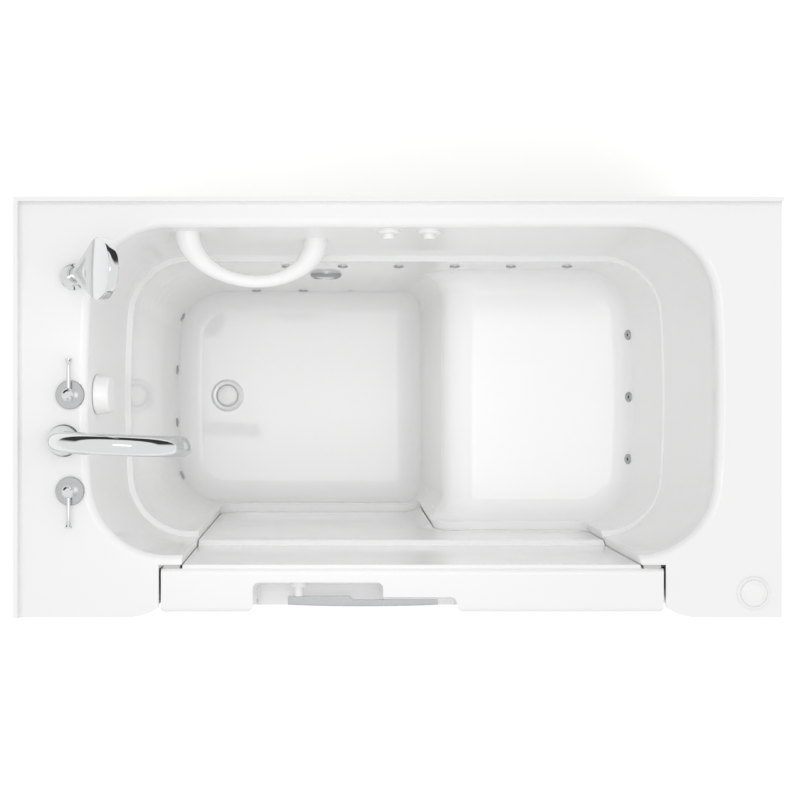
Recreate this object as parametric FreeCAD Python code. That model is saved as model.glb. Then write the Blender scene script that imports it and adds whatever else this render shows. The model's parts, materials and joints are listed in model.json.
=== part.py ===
import FreeCAD, Part
import math
import os

Vec = FreeCAD.Vector

# Walk-in air bath, millimetres. +X runs from the foot end to the seat, +Y to the back wall, +Z up.

# Overall sizes and the moulded shell
LENGTH = 1346.0
WIDTH = 737.0
DECK_Z = 1045.0
SKIN = 8.0
DECK_EDGE_RADIUS = 6.0
DECK_LIP_DROP = 24.0
DECK_LIP_WALL = 4.5
FLANGE_RISE = 22.0
FLANGE_WALL = 8.0
FLANGE_FILLET = 7.0
RIM_RADIUS = 14.0
ON_FACE = 1e-3
ON_EDGE = 1.0
TOUCH_GAP = 0.3
OVERCUT = 1.0
SEAM_TURN = 45.0

# Basin: deck widths round it, levels and the lean of its walls
RIM_LEFT = 125.0
RIM_RIGHT = 113.0
RIM_BACK = 50.5
RIM_FRONT = 108.5
LEDGE_DROP = 300.0
LEDGE_WIDTH = 11.0
LEDGE_AT_REST = 4.0
SEAT_Z = 560.0
FLOOR_Z = 120.0
UPPER_LEAN_LEFT = 31.0
UPPER_LEAN_BACK = 32.0
UPPER_LEAN_FRONT = 15.0
LOWER_LEAN_LEFT = 35.0
LOWER_LEAN_BACK = 31.0
LOWER_LEAN_FRONT = 30.0
RIM_CORNER = 135.0
LEDGE_CORNER = 118.0
FLOOR_CORNER = 95.0
END_BOW = 2400.0
BOTTOM_FILLET = 45.0

# Back rest: how far each level stands in from the rim, as (share of the upper height, inset)
BACK_REST_LEVELS = ((0.0, 57.0), (0.30, 31.0), (0.55, 13.0), (1.0, 0.0))
BACK_REST_SLOPE = 0.256

# Seat front
SEAT_DEPTH = 467.5
SEAT_FACE_LEAN = 6.3
SEAT_FOOT_RADIUS = 55.0
SEAT_NOSE_RADIUS = 68.0

# Door and the opening that it plugs
DOOR_FROM_LEFT = 256.0
DOOR_FROM_RIGHT = 207.5
DOOR_THICK = 76.0
DOOR_FRONT_INSET = 9.5
DOOR_GAP = 4.0
LEG_GAP = 8.0
DOOR_EDGE_RADIUS = 9.0
DOOR_CORNER = 40.0
DOOR_SKIN = 7.0
DOOR_RIM = 4.0
DOOR_SETBACK = 17.0
SEAL_GAP = 7.0
SEAL_LAND = 36.0
PLUG_GAP = 1.2
SILL_RISE = 70.0
STEP_RISE = 22.0
LEG_BEFORE_SEAT = 26.5
LEG_LEAN = 0.045
RIGHT_EDGE_LEAN = 0.103
OPENING_CORNER = 58.0
STEP_CORNER = 34.0
TAPER_LEFT = 5.0
TAPER_RIGHT = 19.0
TAPER_BOTTOM = 8.0
POST_CURVE_X = 56.0
POST_CURVE_Y = 17.5

# Handle pocket in the door front
POCKET_FROM_LEFT = 161.0
POCKET_DEEP_LENGTH = 229.0
POCKET_SHALLOW_LENGTH = 130.0
POCKET_DEPTH = 52.0
POCKET_SHALLOW_DEPTH = 26.5
POCKET_HEIGHT = 140.0
POCKET_SLOPE = 6.0
POCKET_CORNER = 14.0
POCKET_SIDE_RADIUS = 11.0
POCKET_FLARE = 11.0

# Latch: lever, spindle with pinion, and the bolt that its rack throws
LEVER_FROM_LEFT = 239.0
LEVER_DROP = 60.0
LEVER_LONG = 248.0
LEVER_SHORT = 19.0
LEVER_HUB = 91.0
LEVER_HUB_THICK = 18.0
LEVER_HEIGHT = 16.0
LEVER_THICK = 12.0
LEVER_BOW = 3.0
LEVER_EDGE = 2.0
LEVER_FRONT_INSET = 5.0
LATCH_BOSS_RADIUS = 9.0
LATCH_ROSE_RADIUS = 16.0
LATCH_ROSE_THICK = 6.0
SPINDLE_RADIUS = 6.0
SHAFT_CLEARANCE = 0.05
SLIDE_CLEARANCE = 0.4
PINION_TEETH = 14
PINION_MODULE = 2.0
PINION_WIDTH = 10.0
PINION_BEHIND_POCKET = 3.0
DEDENDUM = 1.25
PRESSURE_ANGLE = 20.0
RACK_GAP_SHARE = 0.62
TOOTH_FOOT_SHARE = 0.24
TOOTH_TIP_SHARE = 0.10
RACK_HEIGHT = 14.0
RACK_TEETH = 11
BOLT_END_GAP = 2.0
STRIKE_WALL = 8.0
STRIKE_HEIGHT = 44.0
STRIKE_WIDTH = 34.0
STRIKE_CLEARANCE = 1.0
GUIDE_LENGTH = 26.0
GUIDE_WALL = 5.0
GUIDE_FROM_POCKET = 15.0
GUIDE_FROM_RIGHT = 75.5

# Door hinges
LOW_HINGE_ABOVE_SILL = 95.0
HIGH_HINGE_BELOW_DECK = 165.0
HINGE_LENGTH = 90.0
KNUCKLE_RADIUS = 6.5
HINGE_PIN_RADIUS = 3.0
HINGE_LEAF = 2.5
HINGE_LEAF_WIDTH = 46.0
HINGE_FRONT_INSET = 1.0
KNUCKLE_GAP = 0.5
HINGE_RELIEF = 1.0

# Front panel, end panel and support frame
BASE_Z = 12.0
PANEL_WALL = 6.0
PANEL_INSET = 6.0
PANEL_RETURN = 20.0
TUBE = 30.0
TUBE_WALL = 2.0
FRAME_INSET = 28.0
FRAME_Z = 52.0
RAIL_PAST_DRAIN = 122.0
RAIL_BEFORE_SEAT = 152.5
SEAT_LEGS_BEHIND_NOSE = (87.5, 332.5)
SEAT_LEGS_INSET = 135.5
DECK_POST_FROM_FRONT = 128.5
SHELF_THICK = 8.0
SHELF_BEHIND_NOSE = 97.5
SHELF_FROM_RIGHT = 73.0
SHELF_CLEARANCE = 1.0
FOOT_PAD_RADIUS = 26.0
FOOT_PAD_HEIGHT = 12.0
STUD_RADIUS = 6.0
STUD_TOP_ABOVE_FRAME = 20.0
LOCK_NUT_HEIGHT = 8.0
LOCK_NUT_ACROSS = 19.0

# Faucet set on the left deck
SPOUT_FROM_LEFT = 85.5
SPOUT_ASIDE = 4.0
FAUCET_BEFORE_MIDDLE = 91.0
SPOUT_REACH = 212.0
SPOUT_RISE = 60.0
SPOUT_ARCH = 84.0
SPOUT_BASE_RADIUS = 26.0
SPOUT_NECK_RADIUS = 20.0
SPOUT_TOP_RADIUS = 18.0
SPOUT_TIP_RADIUS = 18.5
SPOUT_BORE = 11.0
SPOUT_TURN = -2.5
SPOUT_PLATE_RADIUS = 28.5
SPOUT_PLATE_RISE = 4.0
SPOUT_TIP_SHARE = 0.45
VALVE_FROM_LEFT = 97.0
VALVE_SPACING = 84.5
VALVE_PLATE_RADIUS = 25.5
VALVE_PLATE_RISE = 8.0
VALVE_HUB_RADIUS = 11.5
VALVE_HUB_RISE = 26.0
VALVE_LEVER_REACH = 64.0
VALVE_LEVER_RADIUS = 3.4
VALVE_TIP_RADIUS = 6.0
VALVE_STEM_RADIUS = 5.0
VALVE_BODY_RADIUS = 16.0
VALVE_BODY_DROP = 40.0
INLET_SHARE = 0.55
STEM_DEPTH = 13.3
SHANK_RADIUS = 12.0
DECK_NUT_RADIUS = 22.0
DECK_NUT_HEIGHT = 9.0
SHANK_DROP = 27.0
SUPPLY_RADIUS = 10.5
SUPPLY_LENGTH = 26.0
SUPPLY_COLLAR_RADIUS = 14.5
SUPPLY_COLLAR = 6.0
SUPPLY_BORE = 7.5
MIX_PIPE_RADIUS = 8.0

# Hand shower and its holder
SHOWER_FROM_LEFT = 103.0
SHOWER_FROM_BACK_RIM = 89.0
SHOWER_TILT = 27.0
SHOWER_TURN = 9.0
SHOWER_PLATE_RADIUS = 23.0
SHOWER_PLATE_RISE = 8.0
SHOWER_STEM_RADIUS = 13.0
SOCKET_RISE = 34.0
SOCKET_RADIUS = 17.0
SOCKET_LENGTH = 30.0
SOCKET_FLOOR = 6.0
HANDLE_RADIUS = 12.4
HANDLE_WAIST = 11.0
HANDLE_LENGTH = 123.0
HEAD_CENTRE = 147.0
HEAD_RADIUS = 53.0
HEAD_THICK = 18.0
NECK_FROM = 44.0
NECK_MIDDLE = 84.0
NECK_MIDDLE_WIDTH = 22.0
NECK_WIDTH = 45.0
NECK_BEAD = 1.0
NECK_SINK = 3.0
NECK_END_SHARE = 0.7

# Drain, stopper and overflow
DRAIN_FROM_LEFT = 301.0
DRAIN_BEFORE_MIDDLE = 6.0
DRAIN_RADIUS = 35.0
DRAIN_LIP = 2.5
DRAIN_BORE = 22.0
DRAIN_TUBE_WALL = 2.0
DRAIN_TUBE_DEPTH = 20.0
STOPPER_SEAT_WIDTH = 2.5
STOPPER_SEAT_DEPTH = 5.0
SPIDER_WIDTH = 4.0
SPIDER_DEPTH = 6.0
SPIDER_HUB = 3.0
DRAIN_BODY_RADIUS = 26.0
DRAIN_BODY_DROP = 40.0
OUTLET_RADIUS = 19.0
OUTLET_Z = 14.0
STOPPER_RADIUS = 20.5
STOPPER_RISE = 3.4
STOPPER_STEM_DEPTH = 32.0
STOPPER_STEM = 4.0
OVERFLOW_DROP = 75.0
KNOB_RADIUS = 36.0
KNOB_DEPTH = 28.0
KNOB_STEM = 8.0
OVERFLOW_BORE = 16.0
OVERFLOW_BODY_RADIUS = 20.5
OVERFLOW_BODY_DEPTH = 62.0
WASTE_RADIUS = 17.0
WASTE_BORE = 15.0
WASTE_FROM_LEFT = 83.0
WASTE_BELOW_FLOOR = 28.0
WASTE_BEND = 45.0

# Air buttons, light, grab bar
BUTTONS_SHARE = 0.511
BUTTON_SPACING = 72.0
BUTTON_DROP = 46.0
BUTTON_RADIUS = 10.5
BUTTON_PROUD = 15.0
BUTTON_STROKE = 5.0
BEZEL_RADIUS = 21.0
BEZEL_DEPTH = 6.0
BUTTON_BODY_RADIUS = 14.0
BUTTON_BODY_DEPTH = 25.0
NIPPLE_RADIUS = 3.0
NIPPLE_LENGTH = 7.0
BUTTON_SPRING_ROOM = 6.0
LIGHT_SHARE = 0.3637
LIGHT_DROP = 225.0
LIGHT_RADIUS = 31.0
LIGHT_DEPTH = 8.0
LENS_RADIUS = 24.0
LIGHT_BODY_RADIUS = 26.0
LIGHT_WALL = 5.0
LIGHT_NUT_HEIGHT = 7.0
LIGHT_NUT_WIDTH = 3.0
LENS_SINK = 3.0
LENS_LEDGE = 4.0
LIGHT_BODY_DEPTH = 40.0
BAR_FROM_RIM = 172.0
BAR_SPAN = 226.0
BAR_LEFT_DROP = 60.0
BAR_RIGHT_DROP = 132.0
BAR_PROUD = 91.0
BAR_END_RADIUS = 22.0
BAR_MIDDLE_RADIUS = 13.0
BAR_SWELL = 2.2
BAR_BOLT_RADIUS = 5.0
BAR_BOLT_LENGTH = 30.0
BAR_WASHER_RADIUS = 20.0
BAR_WASHER_THICK = 4.0

# Air jets and the pipes that feed them
JET_RADIUS = 10.0
JET_PROUD = 3.5
JET_STEM_RADIUS = 6.0
JET_STEM_LENGTH = 22.0
JET_SINK = 4.0
JET_BORE = 2.2
BRANCH_WALL = 1.5
BACK_JET_COUNT = 6
BACK_JET_SHARES = (0.30, 0.787)
BACK_JETS_ABOVE_SEAT = 105.0
LOW_JET_COUNT = 3
LOW_JET_SHARES = (0.381, 0.693)
LOW_JETS_ABOVE_FLOOR = 72.0
FOOT_JET_COUNT = 4
FOOT_JET_SHARES = (0.194, 0.78)
REST_JET_COUNT = 3
REST_JET_SHARES = (0.272, 0.694)
REST_JET_TILT = 50.0
REST_JET_START = 285.0
PIPE_RADIUS = 16.0
PIPE_WALL = 2.5
PIPE_BACK_INSET = 48.0
PIPE_LEFT_INSET = 133.0
PIPE_BEND = 60.0
RISER_BEHIND_NOSE = 207.5
PIPE_PAST_JET = 24.0
REST_PIPE_REACH = 74.0

# Blower, control box and deck air intake
BLOWER_FROM_PIPE = 280.5
BLOWER_RADIUS = 88.0
BLOWER_HEIGHT = 168.0
MOTOR_RADIUS = 58.0
MOTOR_HEIGHT = 70.0
BLOWER_FOOT = 7.0
BLOWER_FOOT_RISE = 8.0
BLOWER_BAND = 4.0
OUTLET_NOZZLE_RADIUS = 20.0
OUTLET_NOZZLE_RISE = 60.0
CHECK_VALVE_RADIUS = 26.0
CHECK_VALVE_LENGTH = 80.0
CHECK_VALVE_TAIL = 24.0
CONTROL_FROM_RIGHT = 218.0
CONTROL_FROM_BACK = 258.5
CONTROL_SIZE = (135.0, 150.0, 95.0)
CONTROL_CORNER = 6.0
CONTROL_SEAM_DEPTH = 1.5
CONTROL_SEAM_SHARES = (0.72, 0.75)
GLAND_RADIUS = 9.0
GLAND_LENGTH = 16.0
GLAND_SHARE = 0.35
CAP_FROM_RIGHT = 50.0
CAP_FROM_FRONT = 43.0
CAP_RADIUS = 29.5
CAP_RISE = 9.0
CAP_NECK = 32.0
INTAKE_RADIUS = 18.0
INTAKE_WALL = 2.5
INTAKE_COLLAR = 3.0
INTAKE_RUN = 117.0
INTAKE_BEND = 75.0

LEFT = -LENGTH / 2
RIGHT = LENGTH / 2
BACK = WIDTH / 2
FRONT = -WIDTH / 2
LEDGE_Z = DECK_Z - LEDGE_DROP
DECK_UNDER = DECK_Z - SKIN
RIM_X0 = LEFT + RIM_LEFT
RIM_X1 = RIGHT - RIM_RIGHT
RIM_Y0 = FRONT + RIM_FRONT
RIM_Y1 = BACK - RIM_BACK
RIM_LENGTH = RIM_X1 - RIM_X0
RIM_WIDTH = RIM_Y1 - RIM_Y0
MIDDLE_Y = (RIM_Y0 + RIM_Y1) / 2
SEAT_X = RIM_X1 - SEAT_DEPTH
WELL_LENGTH = SEAT_X - RIM_X0
SILL_Z = FLOOR_Z + SILL_RISE
STEP_Z = SEAT_Z + STEP_RISE
LEG_RIGHT = SEAT_X - LEG_BEFORE_SEAT
DOOR_X0 = LEFT + DOOR_FROM_LEFT
DOOR_X1 = RIGHT - DOOR_FROM_RIGHT
DOOR_Y0 = FRONT + DOOR_FRONT_INSET
DOOR_Y1 = DOOR_Y0 + DOOR_THICK
JAMB_Y = DOOR_Y1 + SEAL_GAP
POCKET_X0 = DOOR_X0 + POCKET_FROM_LEFT
POCKET_X1 = POCKET_X0 + POCKET_DEEP_LENGTH
POCKET_X2 = POCKET_X1 + POCKET_SHALLOW_LENGTH
PIVOT_X = DOOR_X0 + LEVER_FROM_LEFT
PIVOT_Z = DECK_Z - LEVER_DROP
LEVER_Y0 = DOOR_Y0 + LEVER_FRONT_INSET
LEVER_Y1 = LEVER_Y0 + LEVER_HUB_THICK
PINION_RADIUS = PINION_MODULE * PINION_TEETH / 2
TOOTH_PITCH = math.pi * PINION_MODULE
RACK_Z1 = PIVOT_Z - PINION_RADIUS
RACK_Z0 = RACK_Z1 - RACK_HEIGHT
HINGE_HEIGHTS = (SILL_Z + LOW_HINGE_ABOVE_SILL, DECK_Z - HIGH_HINGE_BELOW_DECK)
HINGE_X = DOOR_X0 - DOOR_GAP / 2
HINGE_Y = DOOR_Y0 + HINGE_FRONT_INSET
FRAME_X = RIGHT - FRAME_INSET - TUBE / 2
FRAME_Y = BACK - FRAME_INSET - TUBE / 2
FRAME_TOP = FRAME_Z + TUBE
SEAT_LEGS_X = tuple(SEAT_X + offset for offset in SEAT_LEGS_BEHIND_NOSE)
SEAT_LEGS_Y = FRAME_Y - SEAT_LEGS_INSET
SHELF_X0 = SEAT_X + SHELF_BEHIND_NOSE
SHELF_X1 = RIGHT - SHELF_FROM_RIGHT
SHELF_TOP = FRAME_TOP + SHELF_THICK
SPOUT_X = LEFT + SPOUT_FROM_LEFT
FAUCET_Y = MIDDLE_Y - FAUCET_BEFORE_MIDDLE
SPOUT_Y = FAUCET_Y + SPOUT_ASIDE
VALVE_X = LEFT + VALVE_FROM_LEFT
SHOWER_X = LEFT + SHOWER_FROM_LEFT
SHOWER_Y = RIM_Y1 - SHOWER_FROM_BACK_RIM
DRAIN_X = LEFT + DRAIN_FROM_LEFT
DRAIN_Y = MIDDLE_Y - DRAIN_BEFORE_MIDDLE
FLOOR_RAILS_X = (DRAIN_X + RAIL_PAST_DRAIN, SEAT_X - RAIL_BEFORE_SEAT)
WASTE_X = LEFT + WASTE_FROM_LEFT
WASTE_Z = FLOOR_Z - WASTE_BELOW_FLOOR
BUTTONS_X = RIM_X0 + BUTTONS_SHARE * RIM_LENGTH
BUTTON_PLACES = (BUTTONS_X - BUTTON_SPACING / 2, BUTTONS_X + BUTTON_SPACING / 2)
LIGHT_X = RIM_X0 + LIGHT_SHARE * RIM_LENGTH
BAR_LEFT_X = RIM_X0 + BAR_FROM_RIM
BAR_RIGHT_X = BAR_LEFT_X + BAR_SPAN
BACK_JETS_Z = SEAT_Z + BACK_JETS_ABOVE_SEAT
LOW_JETS_Z = FLOOR_Z + LOW_JETS_ABOVE_FLOOR
RISER_X = SEAT_X + RISER_BEHIND_NOSE
PIPE_Y = BACK - PIPE_BACK_INSET
PIPE_X = LEFT + PIPE_LEFT_INSET
BLOWER_Y = PIPE_Y - BLOWER_FROM_PIPE
BLOWER_TOP = SHELF_TOP + BLOWER_HEIGHT + MOTOR_HEIGHT
OUTLET_NOZZLE_Z = SHELF_TOP + OUTLET_NOZZLE_RISE
RISER_FOOT_Z = OUTLET_NOZZLE_Z - PIPE_RADIUS
CONTROL_X0 = RIGHT - CONTROL_FROM_RIGHT
CONTROL_Y0 = BACK - CONTROL_FROM_BACK
INTAKE_LEVEL = BLOWER_TOP + INTAKE_RUN
CAP_X = RIGHT - CAP_FROM_RIGHT
CAP_Y = FRONT + CAP_FROM_FRONT
UP = Vec(0, 0, 1)
INWARD = Vec(0, 1, 0)
TO_WALL = Vec(-1, 0, 0)
BASIN_IN_Y = RIM_Y0 + UPPER_LEAN_FRONT + LEDGE_WIDTH + LOWER_LEAN_FRONT + BOTTOM_FILLET


def spread(start, length, shares, count):
    """Evenly spaced places along a length, between a first and a last share of it."""
    first, last = shares
    step = (last - first) / (count - 1)
    return [start + length * (first + step * index) for index in range(count)]


def box(x0, x1, y0, y1, z0, z1):
    return Part.makeBox(x1 - x0, y1 - y0, z1 - z0, Vec(x0, y0, z0))


def cylinder(base, axis, radius, height):
    return Part.makeCylinder(radius, height, base, axis)


def fuse_all(shapes):
    first = shapes[0]
    if len(shapes) == 1:
        return first
    return first.fuse(shapes[1:]).removeSplitter()


def rounded_wire(points, radii):
    """Closed outline whose corners are arcs of the given radii; a radius of 0 keeps the corner sharp."""
    corners = []
    count = len(points)
    for index in range(count):
        point = points[index]
        radius = radii[index]
        if radius <= 0:
            corners.append((point, None, point))
            continue
        before = points[index - 1] - point
        after = points[(index + 1) % count] - point
        before.normalize()
        after.normalize()
        half = before.getAngle(after) / 2
        run = radius / math.tan(half)
        inward = before + after
        inward.normalize()
        centre = point + inward * (radius / math.sin(half))
        corners.append((point + before * run, centre - inward * radius, point + after * run))
    edges = []
    for index in range(count):
        start, middle, end = corners[index]
        if middle is not None:
            edges.append(Part.Arc(start, middle, end).toShape())
        follow = corners[(index + 1) % count][0]
        if (follow - end).Length > ON_FACE:
            edges.append(Part.LineSegment(end, follow).toShape())
    return Part.Wire(edges)


def plan_wire(x0, x1, y0, y1, z, corner, bow):
    """Level outline of the basin: straight front and back, gently bowed ends, round corners."""
    middle_y = (y0 + y1) / 2

    def turn(side, back):
        bow_x = x0 + bow if side < 0 else x1 - bow
        centre_y = y1 - corner if back else y0 + corner
        reach = math.sqrt((bow - corner) ** 2 - (centre_y - middle_y) ** 2)
        centre = Vec(bow_x + side * reach, centre_y, z)
        outward = centre - Vec(bow_x, middle_y, z)
        outward.normalize()
        on_end = Vec(bow_x, middle_y, z) + outward * bow
        on_side = Vec(centre.x, y1 if back else y0, z)
        between = (on_end - centre) + (on_side - centre)
        between.normalize()
        return on_end, centre + between * corner, on_side

    front_left = turn(-1, False)
    back_left = turn(-1, True)
    front_right = turn(1, False)
    back_right = turn(1, True)
    edges = [
        Part.Arc(back_left[0], Vec(x0, middle_y, z), front_left[0]).toShape(),
        Part.Arc(*front_left).toShape(),
        Part.LineSegment(front_left[2], front_right[2]).toShape(),
        Part.Arc(front_right[2], front_right[1], front_right[0]).toShape(),
        Part.Arc(front_right[0], Vec(x1, middle_y, z), back_right[0]).toShape(),
        Part.Arc(*back_right).toShape(),
        Part.LineSegment(back_right[2], back_left[2]).toShape(),
        Part.Arc(back_left[2], back_left[1], back_left[0]).toShape(),
    ]
    return Part.Wire(edges)


def upper_section(share, z, grow):
    """Basin outline above the ledge; share is 0 at the ledge and 1 at the rim."""
    lower_share = 1 - share
    inset = 0.0
    for first, second in zip(BACK_REST_LEVELS, BACK_REST_LEVELS[1:]):
        if first[0] <= share <= second[0]:
            along = (share - first[0]) / (second[0] - first[0])
            inset = first[1] + along * (second[1] - first[1])
    return plan_wire(
        RIM_X0 + UPPER_LEAN_LEFT * lower_share - grow,
        RIM_X1 - inset + grow,
        RIM_Y0 + UPPER_LEAN_FRONT * lower_share - grow,
        RIM_Y1 - UPPER_LEAN_BACK * lower_share + grow,
        z,
        LEDGE_CORNER + (RIM_CORNER - LEDGE_CORNER) * share + grow,
        END_BOW + grow,
    )


def upper_basin(grow):
    sections = []
    for share, _ in BACK_REST_LEVELS:
        sections.append(upper_section(share, LEDGE_Z + share * LEDGE_DROP, grow))
    space = Part.makeLoft(sections, True, False)
    if grow:
        foot = upper_section(0.0, LEDGE_Z - grow, grow)
        space = space.fuse(Part.makeLoft([foot, sections[0]], True, True))
    return space


def seat_face_x(z):
    """The seat front leans towards the foot end as it goes down."""
    return SEAT_X - (SEAT_Z - z) * math.tan(math.radians(SEAT_FACE_LEAN))


def lower_basin(grow):
    """Footwell and seat space below the ledge, with rounded bottom corners all round."""
    ledge_z = LEDGE_Z - grow
    floor_z = FLOOR_Z - grow
    seat_z = SEAT_Z - grow
    left = RIM_X0 + UPPER_LEAN_LEFT + LEDGE_WIDTH
    right = RIM_X1 - BACK_REST_LEVELS[0][1] - LEDGE_AT_REST
    front = RIM_Y0 + UPPER_LEAN_FRONT + LEDGE_WIDTH
    back = RIM_Y1 - UPPER_LEAN_BACK - LEDGE_WIDTH
    drop = LEDGE_Z - FLOOR_Z

    def section(z):
        share = (LEDGE_Z - z) / drop
        corner = LEDGE_CORNER - LEDGE_WIDTH + (FLOOR_CORNER - LEDGE_CORNER + LEDGE_WIDTH) * share
        return plan_wire(
            left + LOWER_LEAN_LEFT * share - grow, right - BACK_REST_SLOPE * drop * share + grow,
            front + LOWER_LEAN_FRONT * share - grow, back - LOWER_LEAN_BACK * share + grow,
            z, corner + grow, END_BOW + grow)

    walls = Part.makeLoft([section(ledge_z + BOTTOM_FILLET), section(floor_z - BOTTOM_FILLET)], True, True)
    y = FRONT
    outline = rounded_wire(
        [Vec(LEFT, y, floor_z), Vec(seat_face_x(floor_z) + grow, y, floor_z),
         Vec(seat_face_x(seat_z) + grow, y, seat_z), Vec(RIGHT, y, seat_z),
         Vec(RIGHT, y, ledge_z), Vec(LEFT, y, ledge_z)],
        [0, SEAT_FOOT_RADIUS + grow, SEAT_NOSE_RADIUS - grow, 0, 0, 0])
    space = walls.common(Part.Face(outline).extrude(Vec(0, WIDTH, 0))).removeSplitter()
    nose_x = seat_face_x(SEAT_Z) + SEAT_NOSE_RADIUS

    def is_bottom(face):
        u0, u1, v0, v1 = face.ParameterRange
        normal = face.normalAt((u0 + u1) / 2, (v0 + v1) / 2)
        if abs(normal.y) > ON_FACE:
            return False
        return abs(normal.z) > 0.5 or abs(face.CenterOfMass.x - nose_x) < 2 * SEAT_NOSE_RADIUS

    edges = []
    for edge in space.Edges:
        sides = space.ancestorsOfType(edge, Part.Face)
        if len(sides) != 2 or edge.BoundBox.ZMin > ledge_z - ON_EDGE:
            continue
        if is_bottom(sides[0]) != is_bottom(sides[1]):
            edges.append(edge)
    return space.makeFillet(BOTTOM_FILLET + grow, edges)


def basin(grow):
    return upper_basin(grow).fuse(lower_basin(grow))


def opening_wire(y, shrink):
    """Outline of the L-shaped door opening at depth y; it narrows towards the bather."""
    inward = y - JAMB_Y
    left = DOOR_X0 + SEAL_LAND + inward * math.tan(math.radians(TAPER_LEFT)) + shrink
    right_move = inward * math.tan(math.radians(TAPER_RIGHT)) + shrink
    rise = inward * math.tan(math.radians(TAPER_BOTTOM)) + shrink
    sill = SILL_Z + rise
    step = STEP_Z + rise
    top = DECK_Z + FLANGE_RISE
    leg = LEG_RIGHT - right_move
    leg_top = leg + LEG_LEAN * (STEP_Z - SILL_Z)
    right_top = DOOR_X1 - SEAL_LAND - right_move
    right_step = right_top - RIGHT_EDGE_LEAN * (top - step)
    points = [
        Vec(left, y, top), Vec(left, y, sill), Vec(leg, y, sill), Vec(leg_top, y, step),
        Vec(right_step, y, step), Vec(right_top, y, top)]
    return rounded_wire(points, [0, OPENING_CORNER - shrink, OPENING_CORNER - shrink,
                                 OPENING_CORNER + shrink, STEP_CORNER - shrink, 0])


def opening_plug(y_out, y_in, shrink):
    return Part.makeLoft([opening_wire(y_out, shrink), opening_wire(y_in, shrink)], True, True)


def door_wire(y, grow, leg_grow, top):
    """Outline of the door's outer panel, which laps the seal land round the opening."""
    sill = SILL_Z - SEAL_LAND - grow
    step = STEP_Z - SEAL_LAND - grow
    leg = LEG_RIGHT + LEG_LEAN * (STEP_Z - SILL_Z) + SEAL_LAND + leg_grow
    points = [
        Vec(DOOR_X0 - grow, y, top), Vec(DOOR_X0 - grow, y, sill), Vec(leg, y, sill),
        Vec(leg, y, step), Vec(DOOR_X1 + grow, y, step), Vec(DOOR_X1 + grow, y, top)]
    corner = DOOR_CORNER + grow
    return rounded_wire(points, [0, corner, corner, DOOR_CORNER - grow, corner, 0])


def post_arc(x, side, y, z):
    """Plan curve of a front post beside the door, from its front face to its side face."""
    radius = (POST_CURVE_X ** 2 + POST_CURVE_Y ** 2) / (2 * POST_CURVE_Y)
    start = Vec(x - side * POST_CURVE_X, y, z)
    end = Vec(x, y + POST_CURVE_Y, z)
    half = math.asin(POST_CURVE_X / radius) / 2
    middle = start + Vec(side * radius * math.sin(half), radius * (1 - math.cos(half)), 0)
    return start, middle, end


def deck_wire(z):
    """Deck outline with the notch that the door fills."""
    left = post_arc(DOOR_X0 - DOOR_GAP, 1, FRONT, z)
    right = post_arc(DOOR_X1 + DOOR_GAP, -1, FRONT, z)
    notch_left = Vec(left[2].x, JAMB_Y, z)
    notch_right = Vec(right[2].x, JAMB_Y, z)
    corners = [Vec(RIGHT, FRONT, z), Vec(RIGHT, BACK, z), Vec(LEFT, BACK, z), Vec(LEFT, FRONT, z)]
    path = [right[0]] + corners + [left[0]]
    edges = [Part.LineSegment(first, second).toShape() for first, second in zip(path, path[1:])]
    edges.append(Part.Arc(*left).toShape())
    edges.append(Part.LineSegment(left[2], notch_left).toShape())
    edges.append(Part.LineSegment(notch_left, notch_right).toShape())
    edges.append(Part.LineSegment(notch_right, right[2]).toShape())
    edges.append(Part.Arc(right[2], right[1], right[0]).toShape())
    return Part.Wire(edges)


def tile_flange():
    """Upstand on the left and back edges, with a cove at its foot."""
    cove = FLANGE_FILLET
    top = DECK_Z + FLANGE_RISE
    mid = math.sqrt(0.5)

    def profile(place):
        foot = FLANGE_WALL + cove
        points = [place(0, DECK_UNDER), place(foot, DECK_UNDER), place(foot, DECK_Z)]
        bend = cove - cove * mid
        arc = Part.Arc(points[2], place(FLANGE_WALL + bend, DECK_Z + bend), place(FLANGE_WALL, DECK_Z + cove))
        rest = [place(FLANGE_WALL, DECK_Z + cove), place(FLANGE_WALL, top), place(0, top), points[0]]
        edges = [Part.LineSegment(a, b).toShape() for a, b in zip(points, points[1:])]
        edges.append(arc.toShape())
        edges += [Part.LineSegment(a, b).toShape() for a, b in zip(rest, rest[1:])]
        return Part.Face(Part.Wire(edges))

    left = profile(lambda d, z: Vec(LEFT + d, FRONT, z)).extrude(Vec(0, WIDTH, 0))
    back = profile(lambda d, z: Vec(LEFT, BACK - d, z)).extrude(Vec(LENGTH, 0, 0))
    return left.fuse(back)


def deck_lip():
    """Down-turned edge of the deck on the front posts and the right end."""
    z0 = DECK_Z - DECK_LIP_DROP
    band = Part.Face(deck_wire(z0)).extrude(Vec(0, 0, DECK_LIP_DROP - DECK_EDGE_RADIUS))
    keep = box(LEFT, RIGHT, FRONT, FRONT + DECK_LIP_WALL, z0, DECK_Z)
    end = box(RIGHT - DECK_LIP_WALL, RIGHT, FRONT, BACK, z0, DECK_Z)
    return band.common(keep.fuse(end))


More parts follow.
